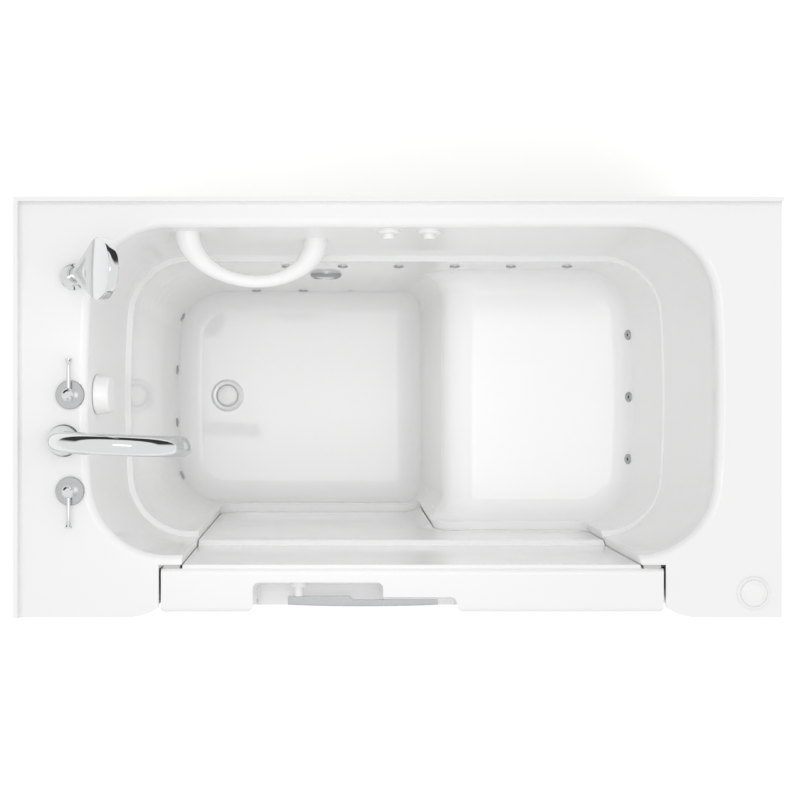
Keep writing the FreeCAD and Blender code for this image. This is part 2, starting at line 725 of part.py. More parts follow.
def tub_shell():
    """Moulded basin, deck, door jamb and tile flange in one skin, with every hole through it."""
    inner_y = BASIN_IN_Y
    deck = Part.Face(deck_wire(DECK_UNDER)).extrude(Vec(0, 0, SKIN))
    collar = opening_plug(JAMB_Y, inner_y, -SKIN).common(box(LEFT, RIGHT, JAMB_Y, inner_y, 0, DECK_Z))
    land = Part.Face(door_wire(JAMB_Y, DOOR_GAP, DOOR_GAP, DECK_Z)).extrude(Vec(0, SKIN, 0))
    body = fuse_all([deck, BASIN_OUTSIDE, collar, land]).cut(BASIN_SPACE)
    rim = []
    for edge in body.Edges:
        middle = edge.valueAt((edge.FirstParameter + edge.LastParameter) / 2)
        inside_x = RIM_X0 - ON_EDGE < middle.x < RIM_X1 + ON_EDGE
        inside_y = RIM_Y0 - ON_EDGE < middle.y < RIM_Y1 + ON_EDGE
        if inside_x and inside_y and edge.BoundBox.ZMin > DECK_Z - ON_FACE:
            rim.append(edge)
    body = body.makeFillet(RIM_RADIUS, rim)
    body = fuse_all([body, tile_flange(), deck_lip()])
    return body.cut(opening_plug(JAMB_Y - OVERCUT, inner_y, 0.0)).cut(shell_holes())


def door_inner_panel():
    """Hollow plug that carries the basin wall and its ledge across the opening."""
    inner_y = BASIN_IN_Y
    top = DECK_Z - DOOR_EDGE_RADIUS
    back = Vec(0, -DOOR_SETBACK, 0)
    face = BASIN_SPACE.translated(back)
    behind = basin(DOOR_SKIN).translated(back)
    plug = opening_plug(DOOR_Y1, inner_y, PLUG_GAP)
    plug = plug.common(box(LEFT, RIGHT, DOOR_Y1, inner_y, 0, top))
    rim_y = DOOR_Y1 - DOOR_RIM
    rim = Part.Face(door_wire(rim_y, -DOOR_SKIN, -DOOR_SKIN, DECK_Z - DOOR_SKIN))
    rim = rim.extrude(Vec(0, DOOR_RIM, 0))
    hollow = opening_plug(rim_y - OVERCUT, inner_y, PLUG_GAP + DOOR_SKIN)
    room = box(LEFT, RIGHT, rim_y - OVERCUT, inner_y, 0, top - DOOR_SKIN)
    hollow = hollow.common(room).cut(behind)
    return fuse_all([plug, rim]).cut(face).cut(hollow)


def pocket_back(depth, z):
    """Depth line of the handle pocket: it leans out to the door's face as it goes down."""
    return DOOR_Y0 + depth - (DECK_Z - z) * math.tan(math.radians(POCKET_SLOPE))


def pocket_part(x0, x1, depth, grow):
    """Sloping recess with round bottom and back corners; grown, it is the outside of the recess wall."""
    z0 = DECK_Z - POCKET_HEIGHT - grow
    z1 = DECK_Z + POCKET_CORNER
    y0 = DOOR_Y0 - POCKET_CORNER
    side = x0 - grow
    points = [
        Vec(side, y0, z0), Vec(side, y0, z1),
        Vec(side, pocket_back(depth, z1) + grow, z1), Vec(side, pocket_back(depth, z0) + grow, z0)]
    outline = rounded_wire(points, [0, 0, 0, POCKET_CORNER + grow])
    solid = Part.Face(outline).extrude(Vec(x1 - x0 + 2 * grow, 0, 0))
    edges = []
    for edge in solid.Edges:
        bounds = edge.BoundBox
        at_end = bounds.XLength < ON_FACE
        if at_end and bounds.YMax > y0 + ON_EDGE and bounds.ZMin < z1 - ON_EDGE:
            edges.append(edge)
    return solid.makeFillet(POCKET_SIDE_RADIUS + grow, edges)


def handle_pocket(grow):
    deep = pocket_part(POCKET_X0, POCKET_X1, POCKET_DEPTH, grow)
    shallow = pocket_part(POCKET_X1 - POCKET_CORNER, POCKET_X2, POCKET_SHALLOW_DEPTH, grow)
    return deep.fuse(shallow).removeSplitter()


def pocket_flare(x, side):
    """Cutter that rounds the door's front edge beside the pocket."""
    size = POCKET_FLARE
    z = DECK_Z - POCKET_HEIGHT
    corner = Vec(x - side * OVERCUT, DOOR_Y0 - OVERCUT, z)
    inner = Vec(x, DOOR_Y0 + size, z)
    outer = Vec(x + side * size, DOOR_Y0, z)
    centre = Vec(x + side * size, DOOR_Y0 + size, z)
    middle = centre + Vec(-side, -1, 0).normalize() * size
    near = Vec(corner.x, inner.y, z)
    far = Vec(outer.x, corner.y, z)
    edges = [
        Part.Arc(inner, middle, outer).toShape(), Part.LineSegment(outer, far).toShape(),
        Part.LineSegment(far, corner).toShape(), Part.LineSegment(corner, near).toShape(),
        Part.LineSegment(near, inner).toShape()]
    return Part.Face(Part.Wire(edges)).extrude(UP * (POCKET_HEIGHT + OVERCUT))


def hinge_relief(radius):
    """Room round the hinge knuckles, cut from the door and from the front panel."""
    cuts = []
    for z in HINGE_HEIGHTS:
        base = Vec(HINGE_X, HINGE_Y, z - HINGE_RELIEF)
        cuts.append(cylinder(base, UP, radius, HINGE_LENGTH + 2 * HINGE_RELIEF))
    return fuse_all(cuts)


def leaf_box(x0, z0, z1):
    return box(x0, x0 + HINGE_LEAF, HINGE_Y, HINGE_Y + HINGE_LEAF_WIDTH, z0, z1)


def door_outer_panel():
    """Outer skin of the door with its rolled top, the handle pocket and the hinge seats."""
    solid = Part.Face(door_wire(DOOR_Y0, 0, 0, DECK_Z)).extrude(Vec(0, DOOR_THICK, 0))
    edges = []
    for edge in solid.Edges:
        bounds = edge.BoundBox
        front = bounds.YMax < DOOR_Y0 + ON_FACE
        top = bounds.ZMin > DECK_Z - ON_FACE and bounds.YMin > DOOR_Y1 - ON_FACE
        if front or top:
            edges.append(edge)
    solid = solid.makeFillet(DOOR_EDGE_RADIUS, edges)
    inside = Part.Face(door_wire(DOOR_Y0 + DOOR_SKIN, -DOOR_SKIN, -DOOR_SKIN, DECK_Z - DOOR_SKIN))
    hollow = inside.extrude(Vec(0, DOOR_THICK, 0))
    seats = [hinge_relief(KNUCKLE_RADIUS + HINGE_RELIEF)]
    blocks = []
    for z in HINGE_HEIGHTS:
        seats.append(leaf_box(DOOR_X0, z, z + HINGE_LENGTH))
        blocks.append(box(DOOR_X0, DOOR_X0 + 2 * DOOR_SKIN, DOOR_Y0 + DOOR_SKIN, DOOR_Y1 - SEAL_GAP,
                          z - DOOR_SKIN, z + HINGE_LENGTH + DOOR_SKIN))
    wall = handle_pocket(DOOR_SKIN).common(solid)
    flares = [pocket_flare(POCKET_X0, -1), pocket_flare(POCKET_X2, 1)]
    panel = solid.cut(hollow).fuse(blocks + [wall]).cut(fuse_all([handle_pocket(0.0)] + flares + seats))
    bore = SPINDLE_RADIUS + SHAFT_CLEARANCE
    hole = cylinder(Vec(PIVOT_X, DOOR_Y0, PIVOT_Z), INWARD, bore, DOOR_THICK)
    return panel.cut(hole).cut(bolt_bar(SLIDE_CLEARANCE)).removeSplitter()


def door_gasket():
    """Soft seal on the back of the outer panel, a hair clear of the seal land when closed."""
    depth = SEAL_GAP - TOUCH_GAP
    margin = DOOR_SKIN / 2
    ring = Part.Face(door_wire(DOOR_Y1, -margin, -margin, DECK_Z - DOOR_EDGE_RADIUS))
    ring = ring.extrude(Vec(0, depth, 0))
    hole = opening_plug(DOOR_Y1 - OVERCUT, DOOR_Y1 + SEAL_GAP, -margin)
    return ring.cut(hole)


def pinion_y():
    return pocket_back(POCKET_DEPTH, PIVOT_Z) + DOOR_SKIN + PINION_BEHIND_POCKET


def bolt_bar(grow):
    """Straight part of the latch bolt; grown, it is the slot that the bolt slides in."""
    x0 = PIVOT_X - TOOTH_PITCH * RACK_TEETH * 0.6
    x1 = DOOR_X1 - BOLT_END_GAP
    if grow:
        x0 = DOOR_X1 - 2 * DOOR_SKIN
        x1 = DOOR_X1 + PANEL_RETURN
    y = pinion_y()
    return box(x0, x1, y - grow, y + PINION_WIDTH + grow, RACK_Z0 - grow, RACK_Z1 + grow)


def latch_bolt():
    """Flat bolt with a rack cut in its upper edge under the pinion."""
    bar = bolt_bar(0.0)
    bottom = RACK_Z1 - PINION_MODULE * DEDENDUM
    bar_top = RACK_Z1 + PINION_MODULE
    y = pinion_y()
    start = PIVOT_X - TOOTH_PITCH * (RACK_TEETH // 2 + 2)
    rack_end = start + TOOTH_PITCH * RACK_TEETH
    crest = box(bar.BoundBox.XMin, rack_end, y, y + PINION_WIDTH, RACK_Z1 - OVERCUT, bar_top)
    lean = (bar_top - bottom) * math.tan(math.radians(PRESSURE_ANGLE))
    narrow = (TOOTH_PITCH * RACK_GAP_SHARE - lean) / 2
    wide = narrow + lean
    gaps = []
    for index in range(RACK_TEETH):
        x = start + TOOTH_PITCH * index
        points = [
            Vec(x - wide, y, bar_top + OVERCUT), Vec(x + wide, y, bar_top + OVERCUT),
            Vec(x + narrow, y, bottom), Vec(x - narrow, y, bottom)]
        gaps.append(Part.Face(Part.makePolygon(points + points[:1])).extrude(Vec(0, PINION_WIDTH, 0)))
    return bar.fuse(crest).cut(fuse_all(gaps)).removeSplitter()


def latch_spindle():
    """Spindle through the pocket wall with the pinion behind it."""
    y = pinion_y()
    shaft_end = y + PINION_WIDTH + OVERCUT
    shaft = cylinder(Vec(PIVOT_X, LEVER_Y1, PIVOT_Z), INWARD, SPINDLE_RADIUS, shaft_end - LEVER_Y1)
    root = PINION_RADIUS - DEDENDUM * PINION_MODULE
    tip = PINION_RADIUS + PINION_MODULE
    wheel = cylinder(Vec(PIVOT_X, y, PIVOT_Z), INWARD, root, PINION_WIDTH)
    foot = TOOTH_PITCH * TOOTH_FOOT_SHARE
    crest = TOOTH_PITCH * TOOTH_TIP_SHARE
    sunk = OVERCUT - root
    teeth = []
    for index in range(PINION_TEETH):
        points = [Vec(-foot, 0, sunk), Vec(foot, 0, sunk), Vec(crest, 0, -tip), Vec(-crest, 0, -tip)]
        tooth = Part.Face(Part.makePolygon(points + points[:1])).extrude(Vec(0, PINION_WIDTH, 0))
        tooth.rotate(Vec(0, 0, 0), INWARD, 360.0 * index / PINION_TEETH)
        tooth.translate(Vec(PIVOT_X, y, PIVOT_Z))
        teeth.append(tooth)
    return fuse_all([shaft, wheel] + teeth)


def latch_lever():
    """Slightly bowed chrome bar, thicker over its hub, that turns up about the spindle."""
    left = PIVOT_X - LEVER_SHORT
    right = PIVOT_X + LEVER_LONG
    step = PIVOT_X + LEVER_HUB
    z = PIVOT_Z - LEVER_HEIGHT / 2
    thin = LEVER_Y0 + LEVER_THICK
    ends = LEVER_Y0 + LEVER_BOW
    slant = LEVER_HUB_THICK - LEVER_THICK
    path = [
        Vec(right, ends, z), Vec(right, thin, z), Vec(step + slant, thin, z), Vec(step, LEVER_Y1, z),
        Vec(left, LEVER_Y1, z), Vec(left, ends, z)]
    edges = [Part.LineSegment(first, second).toShape() for first, second in zip(path, path[1:])]
    front = Part.Arc(path[-1], Vec((left + right) / 2, LEVER_Y0, z), path[0])
    bar = Part.Face(Part.Wire(edges + [front.toShape()])).extrude(UP * LEVER_HEIGHT)
    rounded = [edge for edge in bar.Edges if edge.BoundBox.YMax < ends + ON_FACE]
    return bar.makeFillet(LEVER_EDGE, rounded)


def latch_plate():
    """Rose on the pocket's back wall with a boss that carries the spindle out to the lever."""
    start = LEVER_Y1 + TOUCH_GAP
    back = pocket_back(POCKET_DEPTH, PIVOT_Z)
    boss = cylinder(Vec(PIVOT_X, start, PIVOT_Z), INWARD, LATCH_BOSS_RADIUS, POCKET_DEPTH)
    rose = cylinder(Vec(PIVOT_X, back - LATCH_ROSE_THICK, PIVOT_Z), INWARD, LATCH_ROSE_RADIUS, POCKET_DEPTH)
    plate = boss.fuse(rose).common(handle_pocket(0.0))
    bore = SPINDLE_RADIUS + SHAFT_CLEARANCE
    return plate.cut(cylinder(Vec(PIVOT_X, start, PIVOT_Z), INWARD, bore, POCKET_DEPTH)).removeSplitter()


def bolt_guides():
    """Two saddles on the inside of the outer panel that the bolt slides through."""
    guides = []
    y = pinion_y()
    slot = box(LEFT, RIGHT, y - SLIDE_CLEARANCE, y + PINION_WIDTH + SLIDE_CLEARANCE,
               RACK_Z0 - SLIDE_CLEARANCE, RACK_Z1 + SLIDE_CLEARANCE)
    for x in (POCKET_X2 + GUIDE_FROM_POCKET, DOOR_X1 - GUIDE_FROM_RIGHT):
        body = box(x, x + GUIDE_LENGTH, DOOR_Y0 + DOOR_SKIN, y + PINION_WIDTH + GUIDE_WALL,
                   RACK_Z0 - GUIDE_WALL, RACK_Z1 + GUIDE_WALL)
        guides.append(body.cut(slot))
    return Part.makeCompound(guides)


def strike_block():
    y = pinion_y() + PINION_WIDTH / 2
    z = (RACK_Z0 + RACK_Z1) / 2
    x = DOOR_X1 + DOOR_GAP
    side = STRIKE_WIDTH / 2
    rise = STRIKE_HEIGHT / 2
    return box(x, x + STRIKE_WALL, y - side, y + side, z - rise, z + rise)


def strike_plate():
    y = pinion_y()
    room = STRIKE_CLEARANCE
    hole = box(DOOR_X1, DOOR_X1 + 3 * STRIKE_WALL, y - room, y + PINION_WIDTH + room,
               RACK_Z0 - room, RACK_Z1 + room)
    return strike_block().cut(hole)


def hinge_parts():
    """Frame leaves, door leaves and pins of the two butt hinges."""
    frame = []
    door = []
    pins = []
    third = HINGE_LENGTH / 3
    bore_gap = HINGE_PIN_RADIUS + SHAFT_CLEARANCE
    up = UP
    for z in HINGE_HEIGHTS:
        axis = Vec(HINGE_X, HINGE_Y, z)
        middle = cylinder(axis + up * (third + KNUCKLE_GAP), up, KNUCKLE_RADIUS, third - 2 * KNUCKLE_GAP)
        low = cylinder(axis, up, KNUCKLE_RADIUS, third)
        high = cylinder(axis + up * 2 * third, up, KNUCKLE_RADIUS, third)
        round_middle = cylinder(axis + up * third, up, KNUCKLE_RADIUS + HINGE_RELIEF, third)
        outside = hinge_relief(KNUCKLE_RADIUS + HINGE_RELIEF).cut(round_middle)
        post_leaf = leaf_box(DOOR_X0 - DOOR_GAP - HINGE_LEAF, z, z + HINGE_LENGTH).cut(round_middle)
        door_leaf = leaf_box(DOOR_X0, z, z + HINGE_LENGTH).cut(outside)
        bore = cylinder(axis, up, HINGE_PIN_RADIUS, HINGE_LENGTH)
        loose_bore = cylinder(axis, up, bore_gap, HINGE_LENGTH)
        frame.append(fuse_all([low, high, post_leaf]).cut(bore))
        door.append(middle.fuse(door_leaf).cut(loose_bore).removeSplitter())
        pins.append(bore)
    return Part.makeCompound(frame), Part.makeCompound(door), Part.makeCompound(pins)


def post_shell(side):
    """Hollow front post of the front panel, open at its back, rolled in beside the door."""
    x = DOOR_X0 - DOOR_GAP if side > 0 else DOOR_X1 + DOOR_GAP
    far = LEFT + PANEL_INSET if side > 0 else RIGHT - PANEL_INSET - PANEL_WALL
    y = FRONT + PANEL_INSET
    arc = post_arc(x, side, y, BASE_Z)
    back = DOOR_Y1

    radius = (POST_CURVE_X ** 2 + POST_CURVE_Y ** 2) / (2 * POST_CURVE_Y)
    centre = arc[0] + Vec(0, radius, 0)

    def outline(inset):
        side_x = x - side * inset
        drop = math.sqrt((radius - inset) ** 2 - (side_x - centre.x) ** 2)
        first = Vec(centre.x, y + inset, BASE_Z)
        last = Vec(side_x, centre.y - drop, BASE_Z)
        outward = (first + last) * 0.5 - centre
        outward.normalize()
        start = Vec(far, y + inset, BASE_Z)
        end = Vec(side_x, back, BASE_Z)
        corner = Vec(far, back, BASE_Z)
        edges = [
            Part.LineSegment(start, first).toShape(),
            Part.Arc(first, centre + outward * (radius - inset), last).toShape(),
            Part.LineSegment(last, end).toShape(), Part.LineSegment(end, corner).toShape(),
            Part.LineSegment(corner, start).toShape()]
        return Part.Face(Part.Wire(edges))

    height = Vec(0, 0, DECK_UNDER - BASE_Z)
    return outline(0.0).extrude(height).cut(outline(PANEL_WALL).extrude(height))


def place(shape, point, direction):
    """Move a piece that was made at the origin along +Z to a point, with +Z turned to a direction."""
    moved = shape.copy()
    moved.Placement = FreeCAD.Placement(point, FreeCAD.Rotation(UP, direction))
    return moved


def revolved(profile):
    """Solid of revolution about Z from a closed profile of (radius, height) points."""
    points = [Vec(radius, 0, height) for radius, height in profile]
    face = Part.Face(Part.makePolygon(points + points[:1]))
    return face.revolve(Vec(0, 0, 0), UP, 360)


def bent_path(points, bend):
    """Straight runs joined by tangent arcs of one radius."""
    edges = []
    start = points[0]
    for before, corner, after in zip(points, points[1:], points[2:]):
        inward = (before - corner).normalize()
        onward = (after - corner).normalize()
        half = inward.getAngle(onward) / 2
        run = bend / math.tan(half)
        middle = (inward + onward).normalize()
        centre = corner + middle * (bend / math.sin(half))
        first = corner + inward * run
        last = corner + onward * run
        edges.append(Part.LineSegment(start, first).toShape())
        edges.append(Part.Arc(first, centre - middle * bend, last).toShape())
        start = last
    edges.append(Part.LineSegment(start, points[-1]).toShape())
    return Part.Wire(edges)


def bent_rod(points, bend, radius):
    direction = points[1] - points[0]
    ring = Part.Wire(Part.makeCircle(radius, points[0], direction))
    if len(points) == 2:
        return cylinder(points[0], direction, radius, direction.Length)
    return bent_path(points, bend).makePipeShell([ring], True, False)


def arch(length, rise, bow, radius_at):
    """Tapering arch in the XZ plane; radius_at gives the radius for a share of the way along it."""
    rings = []

    def ring(share, x, z, turn):
        circle = Part.makeCircle(radius_at(share))
        circle.rotate(Vec(0, 0, 0), Vec(0, 1, 0), turn)
        circle.translate(Vec(x, 0, z))
        rings.append(Part.Wire(circle))

    steps = 8
    ring(0.0, 0, 0, 0)
    ring(0.04, 0, rise / 2, 0)
    for index in range(steps + 1):
        angle = math.pi * index / steps
        x = length / 2 * (1 - math.cos(angle))
        z = rise + bow * math.sin(angle)
        turn = 90 - math.degrees(math.atan2(bow * math.cos(angle), length / 2 * math.sin(angle)))
        ring(0.08 + 0.84 * index / steps, x, z, turn)
    ring(0.96, length, rise / 2, 180)
    ring(1.0, length, 0, 180)
    return Part.makeLoft(rings, True, False)


def wall_hit(start, direction):
    """Where a line from inside the basin meets its wall, and the way that the wall faces there."""
    line = Part.LineSegment(start, start + direction * LENGTH)
    hits = []
    for wall in BASIN_SPACE.Faces:
        for crossing in line.intersectCS(wall.Surface)[0]:
            point = Vec(crossing.X, crossing.Y, crossing.Z)
            if wall.distToShape(Part.Vertex(point))[0] < ON_FACE:
                hits.append(((point - start).Length, point, wall))
    distance, point, wall = min(hits, key=lambda hit: hit[0])
    facing = wall.normalAt(*wall.Surface.parameter(point))
    if facing.dot(direction) > 0:
        facing = facing * -1
    return point, facing


def back_wall(x, z):
    return wall_hit(Vec(x, 0, z), Vec(0, 1, 0))


def left_wall(y, z):
    return wall_hit(Vec(DRAIN_X, y, z), Vec(-1, 0, 0))


def rest_wall(y):
    """The round between seat and back rest, met by a line that slopes down to it."""
    tilt = math.radians(REST_JET_TILT)
    start = Vec(SEAT_X + 2 * SEAT_NOSE_RADIUS, y, SEAT_Z + REST_JET_START)
    return wall_hit(start, Vec(math.cos(tilt), 0, -math.sin(tilt)))


def back_jets_x():
    return spread(RIM_X0, RIM_LENGTH, BACK_JET_SHARES, BACK_JET_COUNT)


def foot_jets_y():
    return spread(RIM_Y0, RIM_WIDTH, FOOT_JET_SHARES, FOOT_JET_COUNT)


def rest_jets_y():
    return spread(RIM_Y0, RIM_WIDTH, REST_JET_SHARES, REST_JET_COUNT)


def jet_places():
    places = {}
    places["air_jets_back_upper"] = [back_wall(x, BACK_JETS_Z) for x in back_jets_x()]
    places["air_jets_back_lower"] = [
        back_wall(x, LOW_JETS_Z) for x in spread(RIM_X0, WELL_LENGTH, LOW_JET_SHARES, LOW_JET_COUNT)]
    places["air_jets_foot_end"] = [left_wall(y, LOW_JETS_Z) for y in foot_jets_y()]
    places["air_jets_back_rest"] = [rest_wall(y) for y in rest_jets_y()]
    return places


def jet_group(places):
    """Domed nozzles on the basin wall with bored stems through it."""
    radius = JET_RADIUS
    proud = JET_PROUD
    dome = revolved([
        (0, -JET_SINK), (radius, -JET_SINK), (radius, proud * 0.45), (radius * 0.82, proud * 0.9),
        (radius * 0.45, proud), (radius * 0.3, proud * 0.6), (0, proud * 0.6)])
    length = JET_STEM_LENGTH + SKIN
    jets = []
    for point, facing in places:
        head = place(dome, point, facing).common(BASIN_SPACE)
        stem = cylinder(point + facing, facing * -1, JET_STEM_RADIUS, length + 1)
        bore = cylinder(point - facing * (length + OVERCUT), facing, JET_BORE, length + proud + 2 * OVERCUT)
        jets.append(head.fuse(stem).removeSplitter().cut(bore))
    return Part.makeCompound(jets)


def air_pipes():
    """Riser from the blower with branches to each row of jets."""
    pipe_in = PIPE_RADIUS - PIPE_WALL
    places = jet_places()
    rest_point, rest_facing = rest_wall(rest_jets_y()[0])
    rest_axis = rest_point - rest_facing * REST_PIPE_REACH
    past = PIPE_PAST_JET
    back_x = back_jets_x()
    riser = [Vec(RISER_X, PIPE_Y, RISER_FOOT_Z), Vec(RISER_X, PIPE_Y, BACK_JETS_Z)]
    upper = [Vec(back_x[0] - past, PIPE_Y, BACK_JETS_Z),
             Vec(max(back_x[-1], RISER_X) + past, PIPE_Y, BACK_JETS_Z)]
    low = [Vec(RISER_X, PIPE_Y, LOW_JETS_Z), Vec(PIPE_X, PIPE_Y, LOW_JETS_Z),
           Vec(PIPE_X, foot_jets_y()[0] - past, LOW_JETS_Z)]
    rest = [Vec(RISER_X, PIPE_Y, rest_axis.z), Vec(rest_axis.x, PIPE_Y, rest_axis.z),
            Vec(rest_axis.x, rest_jets_y()[0] - past, rest_axis.z)]
    nodes = {}
    taken = []
    routes = (("air_riser", riser, []), ("air_manifold_upper", upper, ["air_jets_back_upper"]),
              ("air_manifold_lower", low, ["air_jets_back_lower", "air_jets_foot_end"]),
              ("air_manifold_back_rest", rest, ["air_jets_back_rest"]))
    for name, route, rows in routes:
        solids = [bent_rod(route, PIPE_BEND, PIPE_RADIUS)]
        for row in rows:
            for point, facing in places[row]:
                end = point - facing * (JET_STEM_LENGTH + SKIN)
                if row == "air_jets_foot_end":
                    reach = (end.x - PIPE_X) / facing.x
                elif row == "air_jets_back_rest":
                    reach = REST_PIPE_REACH - JET_STEM_LENGTH - SKIN
                else:
                    reach = (end.y - PIPE_Y) / facing.y
                solids.append(cylinder(end, facing * -1, JET_STEM_RADIUS + BRANCH_WALL, reach))
        pipe = fuse_all(solids)
        for other in taken:
            pipe = pipe.cut(other)
        taken.append(bent_rod(route, PIPE_BEND, PIPE_RADIUS))
        bore = bent_rod(route, PIPE_BEND, pipe_in)
        ends = [cylinder(route[0], route[1] - route[0], PIPE_RADIUS, PIPE_WALL),
                cylinder(route[-1], route[-2] - route[-1], PIPE_RADIUS, PIPE_WALL)]
        nodes[name] = pipe.cut(bore.cut(fuse_all(ends)))
    return nodes


def spout_radius(share):
    if share < 0.08:
        return SPOUT_BASE_RADIUS + (SPOUT_NECK_RADIUS - SPOUT_BASE_RADIUS) * share / 0.08
    if share < 0.5:
        return SPOUT_NECK_RADIUS + (SPOUT_TOP_RADIUS - SPOUT_NECK_RADIUS) * (share - 0.08) / 0.42
    return SPOUT_TOP_RADIUS + (SPOUT_TIP_RADIUS - SPOUT_TOP_RADIUS) * (share - 0.5) / 0.5


def spout():
    """Tapering arch with a flat tip and the water bore in it."""
    tip_z = SPOUT_RISE * SPOUT_TIP_SHARE
    body = arch(SPOUT_REACH, SPOUT_RISE, SPOUT_ARCH, spout_radius)
    body = body.cut(box(SPOUT_REACH / 2, 2 * SPOUT_REACH, -SPOUT_REACH, SPOUT_REACH, -OVERCUT, tip_z))
    body = body.cut(cylinder(Vec(SPOUT_REACH, 0, tip_z), UP, SPOUT_BORE, SPOUT_RISE - tip_z))
    body.rotate(Vec(0, 0, 0), UP, SPOUT_TURN)
    body.translate(Vec(SPOUT_X, SPOUT_Y, DECK_Z + SPOUT_PLATE_RISE))
    return body


def spout_escutcheon():
    radius = SPOUT_PLATE_RADIUS
    rise = SPOUT_PLATE_RISE
    ring = revolved([(0, 0), (radius, 0), (radius, rise / 2), (radius - rise / 2, rise), (0, rise)])
    return place(ring, Vec(SPOUT_X, SPOUT_Y, DECK_Z), UP)


def valve_centre(side):
    return Vec(VALVE_X, FAUCET_Y + side * VALVE_SPACING, DECK_Z)


def valve_escutcheon(side):
    radius = VALVE_PLATE_RADIUS
    rise = VALVE_PLATE_RISE
    bore = VALVE_STEM_RADIUS + SHAFT_CLEARANCE
    shape = revolved([
        (bore, 0), (radius, 0), (radius, rise * 0.6), (radius * 0.94, rise), (bore, rise)])
    return place(shape, valve_centre(side), UP)


def valve_lever(side):
    """Hub on the valve stem with a slim rod that flares to a flat tip."""
    base = VALVE_PLATE_RISE + TOUCH_GAP
    radius = VALVE_HUB_RADIUS
    rise = VALVE_HUB_RISE
    hub = revolved([
        (0, 0), (radius, 0), (radius, rise * 0.73), (radius * 0.8, rise * 0.92), (radius * 0.5, rise),
        (0, rise)])
    hub.translate(UP * base)
    stem = cylinder(Vec(0, 0, -STEM_DEPTH), UP, VALVE_STEM_RADIUS, base + STEM_DEPTH + 1)
    slim = VALVE_LEVER_RADIUS
    wide = VALVE_TIP_RADIUS
    reach = VALVE_LEVER_REACH
    rod = revolved([
        (0, 0), (slim, 0), (slim, reach * 0.8), ((slim + wide) / 2, reach * 0.91), (wide, reach * 0.96),
        (wide, reach), (0, reach)])
    arm = place(rod, UP * (base + rise * 0.5), INWARD)
    lever = fuse_all([hub, stem, arm])
    if side < 0:
        lever.rotate(Vec(0, 0, 0), UP, 180)
    lever.translate(valve_centre(side))
    return lever


def valve_body(side):
    """Cartridge body under the deck with its supply inlet towards the wall."""
    centre = valve_centre(side)
    foot = centre - UP * (SKIN + VALVE_BODY_DROP)
    body = cylinder(foot, UP, VALVE_BODY_RADIUS, VALVE_BODY_DROP)
    neck = cylinder(centre - UP * (SKIN + 1), UP, SHANK_RADIUS, SKIN + 1)
    inlet_z = DECK_UNDER - VALVE_BODY_DROP * INLET_SHARE
    axis = Vec(VALVE_X, centre.y, inlet_z)
    wall = TO_WALL
    shoulder = VALVE_BODY_RADIUS + SUPPLY_COLLAR
    collar = cylinder(axis, wall, SUPPLY_COLLAR_RADIUS, shoulder)
    inlet = cylinder(axis, wall, SUPPLY_RADIUS, shoulder + SUPPLY_LENGTH)
    stem_room = VALVE_STEM_RADIUS + SHAFT_CLEARANCE
    socket = cylinder(centre - UP * (STEM_DEPTH + 2), UP, stem_room, VALVE_BODY_DROP)
    bore = cylinder(axis + wall * shoulder, wall, SUPPLY_BORE, SUPPLY_LENGTH)
    return fuse_all([body, neck, collar, inlet]).cut(socket).cut(bore)


def mixing_body():
    """Brass tee that joins both valves to the spout shank."""
    z = DECK_UNDER - VALVE_BODY_DROP * INLET_SHARE
    run = VALVE_SPACING - VALVE_BODY_RADIUS
    pipe = cylinder(Vec(VALVE_X, FAUCET_Y - run, z), INWARD, MIX_PIPE_RADIUS, 2 * run)
    shank_foot = z - 2 * MIX_PIPE_RADIUS
    shank = cylinder(Vec(SPOUT_X, SPOUT_Y, shank_foot), UP, SHANK_RADIUS, DECK_Z - shank_foot)
    link = cylinder(Vec(SPOUT_X, SPOUT_Y, z), Vec(1, 0, 0), MIX_PIPE_RADIUS, VALVE_X - SPOUT_X)
    return fuse_all([pipe, shank, link])


def hexagon(centre, reach):
    corners = []
    for index in range(7):
        angle = math.radians(60 * index)
        corners.append(centre + Vec(reach * math.cos(angle), reach * math.sin(angle), 0))
    return Part.Face(Part.makePolygon(corners))


def deck_nuts():
    """Hexagon nuts under the deck on the spout and shower shanks."""
    nuts = []
    for x, y in ((SPOUT_X, SPOUT_Y), (SHOWER_X, SHOWER_Y)):
        foot = Vec(x, y, DECK_UNDER - DECK_NUT_HEIGHT)
        nut = hexagon(foot, DECK_NUT_RADIUS).extrude(UP * DECK_NUT_HEIGHT)
        nuts.append(nut.cut(cylinder(Vec(x, y, 0), UP, SHANK_RADIUS, DECK_Z)))
    return Part.makeCompound(nuts)


def shower_placement():
    tilt = math.radians(SHOWER_TILT)
    along = Vec(math.sin(tilt), 0, math.cos(tilt))
    spray = Vec(math.cos(tilt), 0, -math.sin(tilt))
    lean = FreeCAD.Rotation(spray, Vec(0, 1, 0), along, "ZXY")
    turn = FreeCAD.Rotation(UP, SHOWER_TURN)
    return FreeCAD.Placement(Vec(SHOWER_X, SHOWER_Y, DECK_Z + SOCKET_RISE), turn.multiply(lean))


